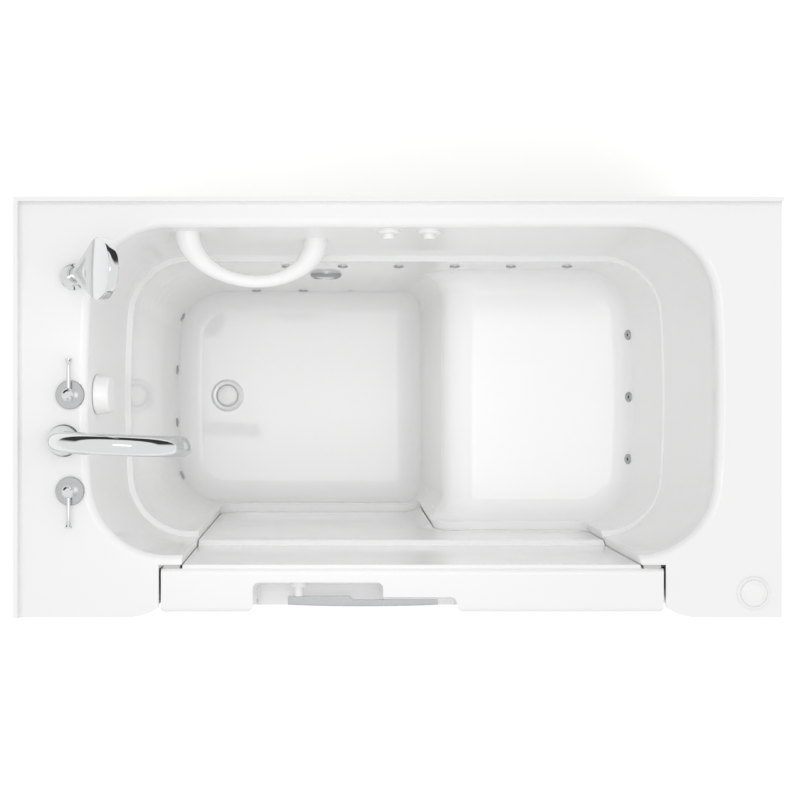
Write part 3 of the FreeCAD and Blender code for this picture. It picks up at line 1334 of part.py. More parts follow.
def shower_holder():
    """Deck plate, stem and a tilted socket for the hand shower."""
    rise = SHOWER_PLATE_RISE
    slim = SHOWER_STEM_RADIUS
    plate = revolved([
        (0, 0), (SHOWER_PLATE_RADIUS, 0), (SHOWER_PLATE_RADIUS, rise * 0.4), (slim * 1.3, rise),
        (slim, rise * 2), (slim, SOCKET_RISE), (0, SOCKET_RISE)])
    plate.translate(Vec(SHOWER_X, SHOWER_Y, DECK_Z))
    shank_foot = Vec(SHOWER_X, SHOWER_Y, DECK_UNDER - SHANK_DROP)
    shank = cylinder(shank_foot, UP, SHANK_RADIUS, SKIN + SHANK_DROP + 1)
    socket = cylinder(Vec(0, 0, -SOCKET_FLOOR), UP, SOCKET_RADIUS, SOCKET_LENGTH + SOCKET_FLOOR)
    socket = socket.fuse(Part.makeSphere(SOCKET_RADIUS, Vec(0, 0, -SOCKET_FLOOR)))
    socket.Placement = shower_placement()
    bore = cylinder(Vec(0, 0, -TOUCH_GAP), UP, HANDLE_RADIUS + TOUCH_GAP, 4 * SOCKET_LENGTH)
    bore.Placement = shower_placement()
    return fuse_all([plate, shank, socket]).cut(bore).removeSplitter()


def hand_shower():
    """Short handle whose flared neck runs into a flat round head; the spray face looks away from the deck."""
    radius = HEAD_RADIUS
    half = HEAD_THICK / 2
    top = NECK_FROM + NECK_SINK
    handle = revolved([
        (0, 0), (HANDLE_RADIUS, 0), (HANDLE_RADIUS, SOCKET_LENGTH), (HANDLE_WAIST, NECK_FROM - NECK_SINK),
        (HANDLE_WAIST, top), (0, top)])
    disc = revolved([
        (0, -half), (radius * 0.95, -half), (radius * 0.99, -half * 0.75), (radius, -half * 0.3),
        (radius, half * 0.55), (radius * 0.96, half), (radius * 0.87, half), (radius * 0.84, half * 0.8),
        (0, half * 0.8)])
    disc = place(disc, Vec(0, 0, HEAD_CENTRE), Vec(1, 0, 0))
    sizes = (
        (NECK_FROM, HANDLE_WAIST + NECK_BEAD, HANDLE_WAIST + NECK_BEAD / 2),
        (NECK_MIDDLE, NECK_MIDDLE_WIDTH, HANDLE_WAIST),
        (HANDLE_LENGTH, NECK_WIDTH, half * NECK_END_SHARE))
    rings = []
    for level, wide, deep in sizes:
        centre = Vec(0, 0, level)
        oval = Part.Ellipse(centre + Vec(0, wide, 0), centre + Vec(deep, 0, 0), centre)
        rings.append(Part.Wire(oval.toShape()))
    neck = Part.makeLoft(rings, True, False)
    solid = fuse_all([handle, neck, disc])
    solid.Placement = shower_placement()
    return solid


def knob_place():
    return left_wall(DRAIN_Y, DECK_Z - OVERFLOW_DROP)


def overflow_knob():
    """Tapered round knob on a stem that works the stopper cable."""
    radius = KNOB_RADIUS
    depth = KNOB_DEPTH
    face = revolved([
        (0, 1), (radius * 0.97, 1), (radius, depth * 0.1), (radius * 0.92, depth * 0.86),
        (radius * 0.87, depth * 0.97), (radius * 0.8, depth), (0, depth)])
    behind = SKIN + OVERFLOW_BODY_DEPTH / 2
    stem = cylinder(Vec(0, 0, -behind), UP, KNOB_STEM, behind + 2)
    return place(face.fuse(stem).removeSplitter(), *knob_place())


def overflow_body():
    """Chamber behind the wall that takes the knob's stem and feeds the waste pipe."""
    point, facing = knob_place()
    depth = OVERFLOW_BODY_DEPTH
    chamber = cylinder(Vec(0, 0, -SKIN - depth), UP, OVERFLOW_BODY_RADIUS, depth)
    collar = cylinder(Vec(0, 0, -SKIN - 1), UP, OVERFLOW_BORE, SKIN + 1)
    bore = cylinder(Vec(0, 0, -SKIN - depth / 2 - 1), UP, KNOB_STEM + SHAFT_CLEARANCE, depth)
    return place(chamber.fuse(collar).cut(bore).removeSplitter(), point, facing)


def waste_pipe(body):
    """Pipe from the overflow chamber down to the drain body."""
    point, facing = knob_place()
    top = point - facing * ((point.x - WASTE_X) / facing.x)
    route = [top, Vec(WASTE_X, DRAIN_Y, WASTE_Z), Vec(DRAIN_X, DRAIN_Y, WASTE_Z)]
    pipe = bent_rod(route, WASTE_BEND, WASTE_RADIUS).cut(bent_rod(route, WASTE_BEND, WASTE_BORE))
    pipe = pipe.cut(body).cut(cylinder(Vec(DRAIN_X, DRAIN_Y, 0), UP, DRAIN_BODY_RADIUS, FLOOR_Z))
    return max(pipe.Solids, key=lambda solid: solid.Volume)


def drain_flange():
    """Dished ring in the floor with a spider that guides the stopper."""
    tube = DRAIN_BORE + DRAIN_TUBE_WALL
    seat = STOPPER_RADIUS - STOPPER_SEAT_WIDTH
    low = -DRAIN_TUBE_DEPTH
    lip = DRAIN_LIP
    ledge = -STOPPER_SEAT_DEPTH
    ring = revolved([
        (seat, low), (tube, low), (tube, 0), (DRAIN_RADIUS, 0), (DRAIN_RADIUS - lip * 0.4, lip * 0.5),
        (DRAIN_RADIUS - lip * 2, lip), (DRAIN_BORE + lip, lip * 0.7), (DRAIN_BORE, ledge * 0.4),
        (DRAIN_BORE, ledge), (seat, ledge)])
    half = SPIDER_WIDTH / 2
    reach = seat + DRAIN_TUBE_WALL / 2
    foot = low + 1
    top = foot + SPIDER_DEPTH
    bars = [
        box(-reach, reach, -half, half, foot, top), box(-half, half, -reach, reach, foot, top),
        cylinder(Vec(0, 0, foot), UP, STOPPER_STEM + SPIDER_HUB, SPIDER_DEPTH)]
    bore = cylinder(Vec(0, 0, 2 * low), UP, STOPPER_STEM + SHAFT_CLEARANCE, 2 * DRAIN_TUBE_DEPTH)
    flange = fuse_all([ring] + bars).cut(bore)
    flange.translate(Vec(DRAIN_X, DRAIN_Y, FLOOR_Z))
    return flange


def drain_stopper():
    """Domed cap that rests just above its seat, on a stem in the spider."""
    radius = STOPPER_RADIUS
    rise = STOPPER_RISE
    under = TOUCH_GAP - STOPPER_SEAT_DEPTH
    cap = revolved([
        (0, under), (radius, under), (radius, -rise * 0.3), (radius * 0.85, rise * 0.44),
        (radius * 0.4, rise * 0.88), (0, rise)])
    stem = cylinder(Vec(0, 0, -STOPPER_STEM_DEPTH), UP, STOPPER_STEM, STOPPER_STEM_DEPTH)
    stopper = cap.fuse(stem).removeSplitter()
    stopper.translate(Vec(DRAIN_X, DRAIN_Y, FLOOR_Z))
    return stopper


def drain_body():
    """Tee under the floor that clamps the flange and leads to the outlet."""
    top = FLOOR_Z - SKIN
    low = top - DRAIN_BODY_DROP
    wall = DRAIN_TUBE_WALL
    body = cylinder(Vec(DRAIN_X, DRAIN_Y, low), UP, DRAIN_BODY_RADIUS, DRAIN_BODY_DROP)
    pipe = cylinder(Vec(DRAIN_X, DRAIN_Y, OUTLET_Z), UP, OUTLET_RADIUS, low - OUTLET_Z + 1)
    wide = cylinder(Vec(DRAIN_X, DRAIN_Y, low + 3 * wall), UP, DRAIN_BORE + wall, DRAIN_BODY_DROP)
    bore = cylinder(Vec(DRAIN_X, DRAIN_Y, 0), UP, OUTLET_RADIUS - wall, FLOOR_Z)
    inlet = cylinder(Vec(DRAIN_X, DRAIN_Y, WASTE_Z), TO_WALL, WASTE_BORE, 2 * DRAIN_BODY_RADIUS)
    return body.fuse(pipe).cut(wide).cut(bore).cut(inlet).removeSplitter()


def button_place(x):
    return back_wall(x, DECK_Z - BUTTON_DROP)


def button_bezel(x):
    """Round bezel on the wall with its sleeve through it."""
    bore = BUTTON_RADIUS + TOUCH_GAP
    sleeve = BUTTON_BODY_RADIUS
    radius = BEZEL_RADIUS
    ring = revolved([
        (bore, -SKIN), (sleeve, -SKIN), (sleeve, 0), (radius, 0), (radius, BEZEL_DEPTH * 0.4),
        (radius * 0.9, BEZEL_DEPTH * 0.8), (radius * 0.7, BEZEL_DEPTH), (bore, BEZEL_DEPTH)])
    return place(ring, *button_place(x))


def button_body(x):
    """Bellows cup behind the wall with a nipple for the air tube."""
    end = -SKIN - BUTTON_BODY_DEPTH
    collar = -SKIN - BUTTON_BODY_DEPTH * 0.4
    floor = -SKIN - BUTTON_STROKE - BUTTON_SPRING_ROOM
    bore = BUTTON_RADIUS + TOUCH_GAP
    cup = revolved([
        (0, end), (BUTTON_BODY_RADIUS, end), (BUTTON_BODY_RADIUS, collar), (BEZEL_RADIUS, collar),
        (BEZEL_RADIUS, -SKIN), (bore, -SKIN), (bore, floor), (0, floor)])
    nipple = cylinder(Vec(0, 0, end - NIPPLE_LENGTH), UP, NIPPLE_RADIUS, NIPPLE_LENGTH + 1)
    return place(cup.fuse(nipple).removeSplitter(), *button_place(x))


def air_button(x):
    radius = BUTTON_RADIUS
    proud = BUTTON_PROUD
    knob = revolved([
        (0, -SKIN), (radius, -SKIN), (radius, proud * 0.83), (radius * 0.86, proud * 0.96),
        (radius * 0.5, proud), (0, proud)])
    return place(knob, *button_place(x))


def light_place():
    return back_wall(LIGHT_X, LEDGE_Z - LIGHT_DROP)


def light_bezel():
    """Slim ring that holds the lens against the wall."""
    bore = LENS_RADIUS
    neck = LIGHT_BODY_RADIUS
    depth = LIGHT_DEPTH
    ring = revolved([
        (bore, -LENS_SINK), (neck, -LENS_SINK), (neck, 0), (LIGHT_RADIUS, 0), (LIGHT_RADIUS, depth * 0.4),
        (LIGHT_RADIUS - depth * 0.4, depth * 0.9), (bore + depth * 0.2, depth), (bore, depth * 0.8)])
    return place(ring, *light_place())


def light_lens():
    radius = LENS_RADIUS
    depth = LIGHT_DEPTH
    lens = revolved([
        (0, -LENS_SINK), (radius, -LENS_SINK), (radius, depth * 0.5), (radius * 0.7, depth * 0.95),
        (radius * 0.35, depth * 1.2), (0, depth * 1.25)])
    return place(lens, *light_place())


def light_housing():
    """Lamp cup behind the wall with the nut that clamps it."""
    end = -LIGHT_BODY_DEPTH
    neck = LIGHT_BODY_RADIUS
    mouth = LENS_RADIUS - LENS_LEDGE
    cup = revolved([
        (0, end), (neck * 0.73, end), (neck, end * 0.6), (neck, -LENS_SINK), (mouth, -LENS_SINK),
        (mouth - LENS_LEDGE, end + LIGHT_WALL), (0, end + LIGHT_WALL)])
    nut_low = -SKIN - LIGHT_NUT_HEIGHT
    nut_radius = LIGHT_RADIUS + LIGHT_NUT_WIDTH
    nut = revolved([(neck, nut_low), (nut_radius, nut_low), (nut_radius, -SKIN), (neck, -SKIN)])
    return place(cup.fuse(nut).removeSplitter(), *light_place())


def bar_ends():
    left = back_wall(BAR_LEFT_X, DECK_Z - BAR_LEFT_DROP)
    right = back_wall(BAR_RIGHT_X, DECK_Z - BAR_RIGHT_DROP)
    return left, right


def bar_radius(share):
    swell = abs(2 * share - 1) ** BAR_SWELL
    return BAR_MIDDLE_RADIUS + (BAR_END_RADIUS - BAR_MIDDLE_RADIUS) * swell


def bar_bolts(radius):
    bolts = []
    for point, facing in bar_ends():
        start = point - facing * (SKIN + BAR_WASHER_THICK)
        bolts.append(cylinder(start, facing, radius, BAR_BOLT_LENGTH))
    return bolts


def grab_bar():
    """Moulded bar that swells into its two feet on the wall."""
    (left, facing), (right, _) = bar_ends()
    chord = right - left
    along = Vec(chord).normalize()
    aside = Vec(0, -1, 0).cross(along).normalize()
    bar = arch(chord.Length, 2 * BAR_END_RADIUS, BAR_PROUD - BAR_END_RADIUS * 0.5, bar_radius)
    turn = FreeCAD.Rotation(along, aside, along.cross(aside), "XZY")
    bar.Placement = FreeCAD.Placement(left + Vec(0, 1.5 * BAR_END_RADIUS, 0), turn)
    bar = bar.common(BASIN_SPACE)
    return bar.cut(fuse_all(bar_bolts(BAR_BOLT_RADIUS)))


def grab_bar_bolts():
    """Bolts through the wall, each with a wide washer behind it."""
    pieces = []
    for bolt, (point, facing) in zip(bar_bolts(BAR_BOLT_RADIUS), bar_ends()):
        away = facing * -1
        wall = point + away * SKIN
        washer = cylinder(wall, away, BAR_WASHER_RADIUS, BAR_WASHER_THICK)
        head = cylinder(wall + away * BAR_WASHER_THICK, away, 2 * BAR_BOLT_RADIUS, BAR_BOLT_RADIUS)
        pieces.append(fuse_all([bolt, washer, head]))
    return Part.makeCompound(pieces)


def shell_holes():
    """Holes through the shell for everything that is fixed in it, with their seams turned off the wall's."""
    cuts = []

    def through(point, facing, radius):
        hole = cylinder(point - facing * 3 * SKIN, facing, radius, 5 * SKIN)
        hole.rotate(point, facing, SEAM_TURN)
        cuts.append(hole)

    for places in jet_places().values():
        for point, facing in places:
            through(point, facing, JET_STEM_RADIUS)
    for x in BUTTON_PLACES:
        through(*button_place(x), BUTTON_BODY_RADIUS)
    through(*light_place(), LIGHT_BODY_RADIUS)
    through(*knob_place(), OVERFLOW_BORE)
    for point, facing in bar_ends():
        through(point, facing, BAR_BOLT_RADIUS)
    through(Vec(DRAIN_X, DRAIN_Y, FLOOR_Z), UP, DRAIN_BORE + DRAIN_TUBE_WALL)
    for x, y in ((SPOUT_X, SPOUT_Y), (SHOWER_X, SHOWER_Y)):
        through(Vec(x, y, DECK_Z), UP, SHANK_RADIUS)
    for side in (1, -1):
        through(valve_centre(side), UP, SHANK_RADIUS)
    through(Vec(CAP_X, CAP_Y, DECK_Z), UP, INTAKE_RADIUS)
    return Part.makeCompound(cuts)


def front_panel():
    """Front skirt with two hollow posts and a rolled edge round the door."""
    y0 = FRONT + PANEL_INSET
    sill = SILL_Z - SEAL_LAND - DOOR_GAP
    step = STEP_Z - SEAL_LAND - DOOR_GAP
    x0 = DOOR_X0 - DOOR_GAP
    x1 = DOOR_X1 + DOOR_GAP
    far_back = y0 + PANEL_WALL
    left = post_shell(1).cut(box(LEFT, RIGHT, far_back, BACK, 0, sill - PANEL_WALL))
    right = post_shell(-1).cut(box(LEFT, RIGHT, far_back, BACK, 0, step - PANEL_WALL))
    low = box(x0 - POST_CURVE_X, x1 + POST_CURVE_X, y0, far_back, BASE_Z, sill)
    high = box(x0, x1 + POST_CURVE_X, y0, far_back, BASE_Z, step)
    hole = Part.Face(door_wire(FRONT, DOOR_GAP, LEG_GAP, DECK_Z)).extrude(Vec(0, JAMB_Y - FRONT, 0))
    ring = Part.Face(door_wire(y0, DOOR_GAP + PANEL_WALL, LEG_GAP + PANEL_WALL, DECK_UNDER))
    front_ring = ring.extrude(Vec(0, DOOR_Y1 - y0, 0)).common(box(x0, x1, y0, DOOR_Y1, 0, DECK_UNDER))
    seats = [strike_block(), hinge_relief(KNUCKLE_RADIUS + HINGE_RELIEF)]
    for z in HINGE_HEIGHTS:
        seats.append(leaf_box(DOOR_X0 - DOOR_GAP - HINGE_LEAF, z, z + HINGE_LENGTH))
    panel = fuse_all([left, right, low, high, front_ring])
    return panel.cut(fuse_all([hole] + seats)).removeSplitter()


def end_panel():
    """Removable end panel with turned-in edges."""
    x1 = RIGHT - PANEL_INSET
    x0 = x1 - PANEL_WALL
    y0 = FRONT + PANEL_INSET
    y1 = BACK - FLANGE_WALL
    sheet = box(x0, x1, y0, y1, BASE_Z, DECK_UNDER)
    fold = box(x0 - PANEL_RETURN, x0, y1 - PANEL_WALL, y1, BASE_Z, DECK_UNDER)
    return sheet.fuse(fold).removeSplitter()


def frame_tubes():
    half = TUBE / 2
    x = FRAME_X
    y = FRAME_Y
    tubes = []
    for side in (-1, 1):
        tubes.append((-x - half, x + half, side * y - half, side * y + half, FRAME_Z, FRAME_TOP))
        tubes.append((side * x - half, side * x + half, -y + half, y - half, FRAME_Z, FRAME_TOP))
        for post_y in (FRONT + DECK_POST_FROM_FRONT, y):
            post = (side * x - half, side * x + half, post_y - half, post_y + half, FRAME_TOP, DECK_UNDER)
            tubes.append(post)
        for leg_x in SEAT_LEGS_X:
            leg_y = side * SEAT_LEGS_Y
            leg = (leg_x - half, leg_x + half, leg_y - half, leg_y + half, FRAME_TOP, SEAT_Z - SKIN - TUBE)
            tubes.append(leg)
    for rail_x in FLOOR_RAILS_X:
        tubes.append((rail_x - half, rail_x + half, -y - half, y + half, FRAME_TOP, FLOOR_Z - SKIN))
    for leg_x in SEAT_LEGS_X:
        tubes.append((leg_x - half, leg_x + half, -y + half, y - half, FRAME_Z, FRAME_TOP))
        tubes.append((leg_x - half, leg_x + half, -SEAT_LEGS_Y - half, SEAT_LEGS_Y + half,
                      SEAT_Z - SKIN - TUBE, SEAT_Z - SKIN))
    return tubes


def foot_places():
    places = []
    for x in (-FRAME_X, SEAT_LEGS_X[0], FRAME_X):
        for side in (-1, 1):
            places.append(Vec(x, side * FRAME_Y, 0))
    return places


def support_frame():
    """Welded square tubes under the floor, the seat and the deck."""
    outer = [box(*tube) for tube in frame_tubes()]
    inner = []
    for x0, x1, y0, y1, z0, z1 in frame_tubes():
        wall = TUBE_WALL
        inner.append(box(x0 + wall, x1 - wall, y0 + wall, y1 - wall, z0 + wall, z1 - wall))
    holes = []
    for place_at in foot_places():
        holes.append(cylinder(place_at, UP, STUD_RADIUS, FRAME_TOP - TUBE_WALL))
    return fuse_all(outer).cut(inner + holes)


def levelling_feet():
    """Pads on threaded studs that screw into the frame."""
    height = FOOT_PAD_HEIGHT
    stud_top = FRAME_Z + STUD_TOP_ABOVE_FRAME
    feet = []
    for base in foot_places():
        pad = revolved([
            (0, 0), (FOOT_PAD_RADIUS, 0), (FOOT_PAD_RADIUS, height * 0.4), (STUD_RADIUS * 1.8, height),
            (0, height)])
        stud = cylinder(UP * (height - 1), UP, STUD_RADIUS, stud_top - height + 1)
        foot = pad.fuse(stud).removeSplitter()
        foot.translate(base)
        feet.append(foot)
    return Part.makeCompound(feet)


def foot_lock_nuts():
    nuts = []
    for base in foot_places():
        foot = base + UP * (FRAME_Z - LOCK_NUT_HEIGHT)
        nut = hexagon(foot, LOCK_NUT_ACROSS / math.sqrt(3)).extrude(UP * LOCK_NUT_HEIGHT)
        nuts.append(nut.cut(cylinder(base, UP, STUD_RADIUS, FRAME_Z)))
    return Part.makeCompound(nuts)


def equipment_shelf():
    half = TUBE / 2
    shelf = box(SHELF_X0, SHELF_X1, -FRAME_Y - half, FRAME_Y + half, FRAME_TOP, SHELF_TOP)
    legs = []
    for x0, x1, y0, y1, z0, z1 in frame_tubes():
        if z1 - z0 > 2 * TUBE:
            gap = SHELF_CLEARANCE
            legs.append(box(x0 - gap, x1 + gap, y0 - gap, y1 + gap, FRAME_TOP, SHELF_TOP))
    return shelf.cut(fuse_all(legs))


def blower_base():
    return Vec(RISER_X, BLOWER_Y, SHELF_TOP)


def blower_housing():
    """Turbine housing with a banded side and an outlet nozzle towards the riser."""
    radius = BLOWER_RADIUS
    height = BLOWER_HEIGHT
    foot = radius + BLOWER_FOOT
    rise = BLOWER_FOOT_RISE
    band = radius + BLOWER_BAND
    body = revolved([
        (0, 0), (foot, 0), (foot, rise), (radius, rise * 1.25), (radius, height * 0.42),
        (band, height * 0.45), (band, height * 0.52), (radius, height * 0.55), (radius, height * 0.85),
        (radius * 0.8, height), (0, height)])
    body.translate(blower_base())
    reach = PIPE_Y - PIPE_RADIUS - CHECK_VALVE_TAIL - CHECK_VALVE_LENGTH - BLOWER_Y
    nozzle = cylinder(Vec(RISER_X, BLOWER_Y, OUTLET_NOZZLE_Z), INWARD, OUTLET_NOZZLE_RADIUS, reach)
    return body.fuse(nozzle).removeSplitter()


def blower_motor():
    """Motor cap with the collar that takes the intake hose."""
    radius = MOTOR_RADIUS
    height = MOTOR_HEIGHT
    collar = INTAKE_RADIUS + INTAKE_COLLAR
    cap = revolved([
        (0, 0), (radius, 0), (radius, height * 0.55), (radius * 0.86, height * 0.6),
        (radius * 0.86, height * 0.9), (collar, height * 0.94), (collar, height), (0, height)])
    cap.translate(blower_base() + UP * BLOWER_HEIGHT)
    return cap


def check_valve():
    """Valve between blower and riser that keeps water out of the blower."""
    length = CHECK_VALVE_LENGTH
    start = PIPE_Y - PIPE_RADIUS - CHECK_VALVE_TAIL - length
    radius = CHECK_VALVE_RADIUS
    band = radius * 1.15
    tail_radius = PIPE_RADIUS * 0.9
    tail = length + CHECK_VALVE_TAIL + PIPE_RADIUS
    body = revolved([
        (0, 0), (radius, 0), (radius, length * 0.3), (band, length * 0.35), (band, length * 0.6),
        (radius, length * 0.65), (radius, length * 0.9), (tail_radius, length), (tail_radius, tail),
        (0, tail)])
    valve = place(body, Vec(RISER_X, start, OUTLET_NOZZLE_Z), INWARD)
    return valve.cut(cylinder(Vec(RISER_X, PIPE_Y, 0), UP, PIPE_RADIUS, DECK_Z))


def control_box():
    """Sealed control box with a lid seam and a bare cable gland."""
    x, y, z = CONTROL_SIZE
    x0 = CONTROL_X0
    y0 = CONTROL_Y0
    z0 = SHELF_TOP
    body = box(x0, x0 + x, y0, y0 + y, z0, z0 + z)
    uprights = [edge for edge in body.Edges if edge.BoundBox.ZLength > z - ON_EDGE]
    body = body.makeFillet(CONTROL_CORNER, uprights)
    seam_low, seam_high = [z0 + z * share for share in CONTROL_SEAM_SHARES]
    seam = box(x0 - OVERCUT, x0 + x + OVERCUT, y0 - OVERCUT, y0 + y + OVERCUT, seam_low, seam_high)
    deep = CONTROL_SEAM_DEPTH
    core = box(x0 + deep, x0 + x - deep, y0 + deep, y0 + y - deep, z0, z0 + z)
    gland = cylinder(Vec(x0 + x / 2, y0, z0 + z * GLAND_SHARE), INWARD * -1, GLAND_RADIUS, GLAND_LENGTH)
    return body.cut(seam.cut(core)).fuse(gland).removeSplitter()


def air_intake_cap():
    """Domed deck cap with a ring groove; its neck takes the intake hose."""
    radius = CAP_RADIUS
    rise = CAP_RISE
    dome = revolved([
        (0, 0), (radius, 0), (radius, rise * 0.25), (radius * 0.93, rise * 0.42),
        (radius * 0.84, rise * 0.42), (radius * 0.82, rise * 0.25), (radius * 0.78, rise * 0.25),
        (radius * 0.76, rise * 0.7), (radius * 0.5, rise * 0.94), (0, rise)])
    neck = cylinder(Vec(0, 0, -CAP_NECK), UP, INTAKE_RADIUS, CAP_NECK + 1)
    cap = dome.fuse(neck).removeSplitter()
    cap.translate(Vec(CAP_X, CAP_Y, DECK_Z))
    return cap


def intake_hose():
    """Hose from the deck cap down to the top of the blower."""
    top = blower_base() + UP * (BLOWER_HEIGHT + MOTOR_HEIGHT)
    route = [
        Vec(CAP_X, CAP_Y, DECK_Z - CAP_NECK), Vec(CAP_X, CAP_Y, INTAKE_LEVEL),
        Vec(RISER_X, BLOWER_Y, INTAKE_LEVEL), top]
    hose = bent_rod(route, INTAKE_BEND, INTAKE_RADIUS)
    return hose.cut(bent_rod(route, INTAKE_BEND, INTAKE_RADIUS - INTAKE_WALL))


BASIN_SPACE = basin(0.0)
BASIN_OUTSIDE = basin(SKIN)
PARTS = {}
PARTS["tub_shell"] = tub_shell()
PARTS["door_inner_panel"] = door_inner_panel()
PARTS["door_outer_panel"] = door_outer_panel()
PARTS["door_gasket"] = door_gasket()
PARTS["latch_lever"] = latch_lever()
PARTS["latch_plate"] = latch_plate()
PARTS["latch_spindle"] = latch_spindle()
PARTS["latch_bolt"] = latch_bolt()
PARTS["bolt_guides"] = bolt_guides()
PARTS["strike_plate"] = strike_plate()
PARTS["hinge_frame_leaves"], PARTS["hinge_door_leaves"], PARTS["hinge_pins"] = hinge_parts()
for group, places in jet_places().items():
    PARTS[group] = jet_group(places)
PARTS.update(air_pipes())
PARTS["spout"] = spout()
PARTS["spout_escutcheon"] = spout_escutcheon()
PARTS["valve_escutcheons"] = Part.makeCompound([valve_escutcheon(side) for side in (1, -1)])
PARTS["valve_bodies"] = Part.makeCompound([valve_body(side) for side in (1, -1)])
PARTS["hot_lever"], PARTS["cold_lever"] = [valve_lever(side) for side in (1, -1)]
PARTS["mixing_body"] = mixing_body()
PARTS["deck_nuts"] = deck_nuts()
PARTS["shower_holder"] = shower_holder()
PARTS["hand_shower"] = hand_shower()
PARTS["overflow_knob"] = overflow_knob()
PARTS["overflow_body"] = overflow_body()
PARTS["drain_flange"] = drain_flange()
PARTS["drain_stopper"] = drain_stopper()
PARTS["drain_body"] = drain_body()
PARTS["waste_pipe"] = waste_pipe(PARTS["overflow_body"])
PARTS["button_bezels"] = Part.makeCompound([button_bezel(x) for x in BUTTON_PLACES])
PARTS["button_bodies"] = Part.makeCompound([button_body(x) for x in BUTTON_PLACES])
PARTS["left_air_button"], PARTS["right_air_button"] = [air_button(x) for x in BUTTON_PLACES]
PARTS["light_bezel"] = light_bezel()
PARTS["light_lens"] = light_lens()
PARTS["light_housing"] = light_housing()
PARTS["grab_bar"] = grab_bar()
PARTS["grab_bar_bolts"] = grab_bar_bolts()
PARTS["front_panel"] = front_panel()
PARTS["end_panel"] = end_panel()
PARTS["support_frame"] = support_frame()
PARTS["levelling_feet"] = levelling_feet()
PARTS["foot_lock_nuts"] = foot_lock_nuts()
PARTS["equipment_shelf"] = equipment_shelf()
PARTS["blower_housing"] = blower_housing()
PARTS["blower_motor"] = blower_motor()
PARTS["check_valve"] = check_valve()
PARTS["control_box"] = control_box()
PARTS["air_intake_cap"] = air_intake_cap()
PARTS["intake_hose"] = intake_hose()

os.makedirs("parts", exist_ok=True)
for name, shape in PARTS.items():
    shape.exportStep("parts/" + name + ".step")
    print(name, shape.isValid(), len(shape.Solids), round(shape.Volume))
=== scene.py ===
import bpy
import json
import math
import bmesh
from types import SimpleNamespace
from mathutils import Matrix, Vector


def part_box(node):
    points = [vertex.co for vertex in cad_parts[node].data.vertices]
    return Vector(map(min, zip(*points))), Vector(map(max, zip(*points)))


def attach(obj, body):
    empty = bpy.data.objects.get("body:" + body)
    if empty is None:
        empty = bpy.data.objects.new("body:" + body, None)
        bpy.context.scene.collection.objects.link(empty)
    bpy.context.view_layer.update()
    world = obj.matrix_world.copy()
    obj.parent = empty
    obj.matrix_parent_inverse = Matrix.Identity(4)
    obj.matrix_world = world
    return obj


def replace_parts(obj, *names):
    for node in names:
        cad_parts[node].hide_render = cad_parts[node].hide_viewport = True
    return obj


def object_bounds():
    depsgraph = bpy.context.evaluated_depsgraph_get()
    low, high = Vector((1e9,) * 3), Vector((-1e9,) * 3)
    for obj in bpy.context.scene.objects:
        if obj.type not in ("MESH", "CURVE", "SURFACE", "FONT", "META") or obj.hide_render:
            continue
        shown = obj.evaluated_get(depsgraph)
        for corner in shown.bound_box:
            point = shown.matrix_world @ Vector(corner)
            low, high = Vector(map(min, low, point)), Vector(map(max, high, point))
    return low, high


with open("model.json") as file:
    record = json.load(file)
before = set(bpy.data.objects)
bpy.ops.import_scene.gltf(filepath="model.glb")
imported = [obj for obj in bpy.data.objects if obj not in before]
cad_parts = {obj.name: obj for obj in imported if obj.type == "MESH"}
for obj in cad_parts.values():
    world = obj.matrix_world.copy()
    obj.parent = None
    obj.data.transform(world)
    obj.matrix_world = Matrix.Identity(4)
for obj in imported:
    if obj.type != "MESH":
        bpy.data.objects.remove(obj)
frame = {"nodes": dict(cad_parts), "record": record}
CAD_BOX = [list(corner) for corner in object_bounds()]

# Camera: it looks straight down on the deck
CAMERA_X = 0.0026
CAMERA_Y = 0.0133
CAMERA_Z = 4.945
CAMERA_LENS = 100.0
SENSOR_WIDTH = 36.0
CAMERA_CLIP = 60.0

# Light: the sky fills the shadows, the key comes from above, the softbox gives the reflections
SKY_LEVEL = 0.73
SKY_DARK = 0.05
SKY_DARK_TOP = 0.55
SKY_DARK_BLEND = 0.12
SKY_BACK_FROM = 0.10
SKY_BACK_TO = 0.45
KEY_POWER = 222.0
KEY_SIZE = 7.0
KEY_PLACE = (0.2, 0.2, 11.0)
SOFTBOX_POWER = 8.5
SOFTBOX_SIZE = (1.85, 0.83)
SOFTBOX_PLACE = (0.02, -0.015, 5.6)
BASIN_FILL_POWER = 0.38
BASIN_FILL_SIZE = (0.70, 0.26)
BASIN_FILL_PLACE = (-0.17, 0.0, 1.24)
WELL_FILL_POWER = 0.24
WELL_FILL_SIZE = (0.38, 0.30)
WELL_FILL_PLACE = (-0.21, 0.02, 0.74)

# Floor and backdrop
FLOOR_SIZE = 30.0
FLOOR_GLOW = 0.3
FLOOR_GAP = 0.0005

# The shell's glass backing: the middle line of the basin, and where the backing ends under the deck
BASIN_AXIS = 0.33
BASIN_MIDDLE = 0.02
WELL_AXIS = -0.10
SEAT_UNDERSIDE = 0.54
BACKING_TOP = 1.03
SEAT_BLEND = 0.02

# How far a face has to turn outward, may turn to the front, or has to turn down, to carry the backing
OUTWARD_LEAST = 0.2
FRONT_LEAST = -0.15
DOWN_MOST = -0.3

# Plated pieces with a satin face, given a darker copy of the chrome: the darker colour is painted shade that
# stands in for the plain grey these flat plated faces reflect
PAINTED_DARK_PLATE_NODES = (
    "valve_escutcheons", "spout_escutcheon", "latch_lever", "light_bezel", "air_jets_back_upper",
    "air_jets_back_lower", "air_jets_foot_end", "air_jets_back_rest")

# Grab bar
BAR_END_RADIUS = 0.022
BAR_MIDDLE_RADIUS = 0.0115
BAR_REACH = 0.083
BAR_STEPS = 56
BAR_WASHER_RADIUS = 0.020

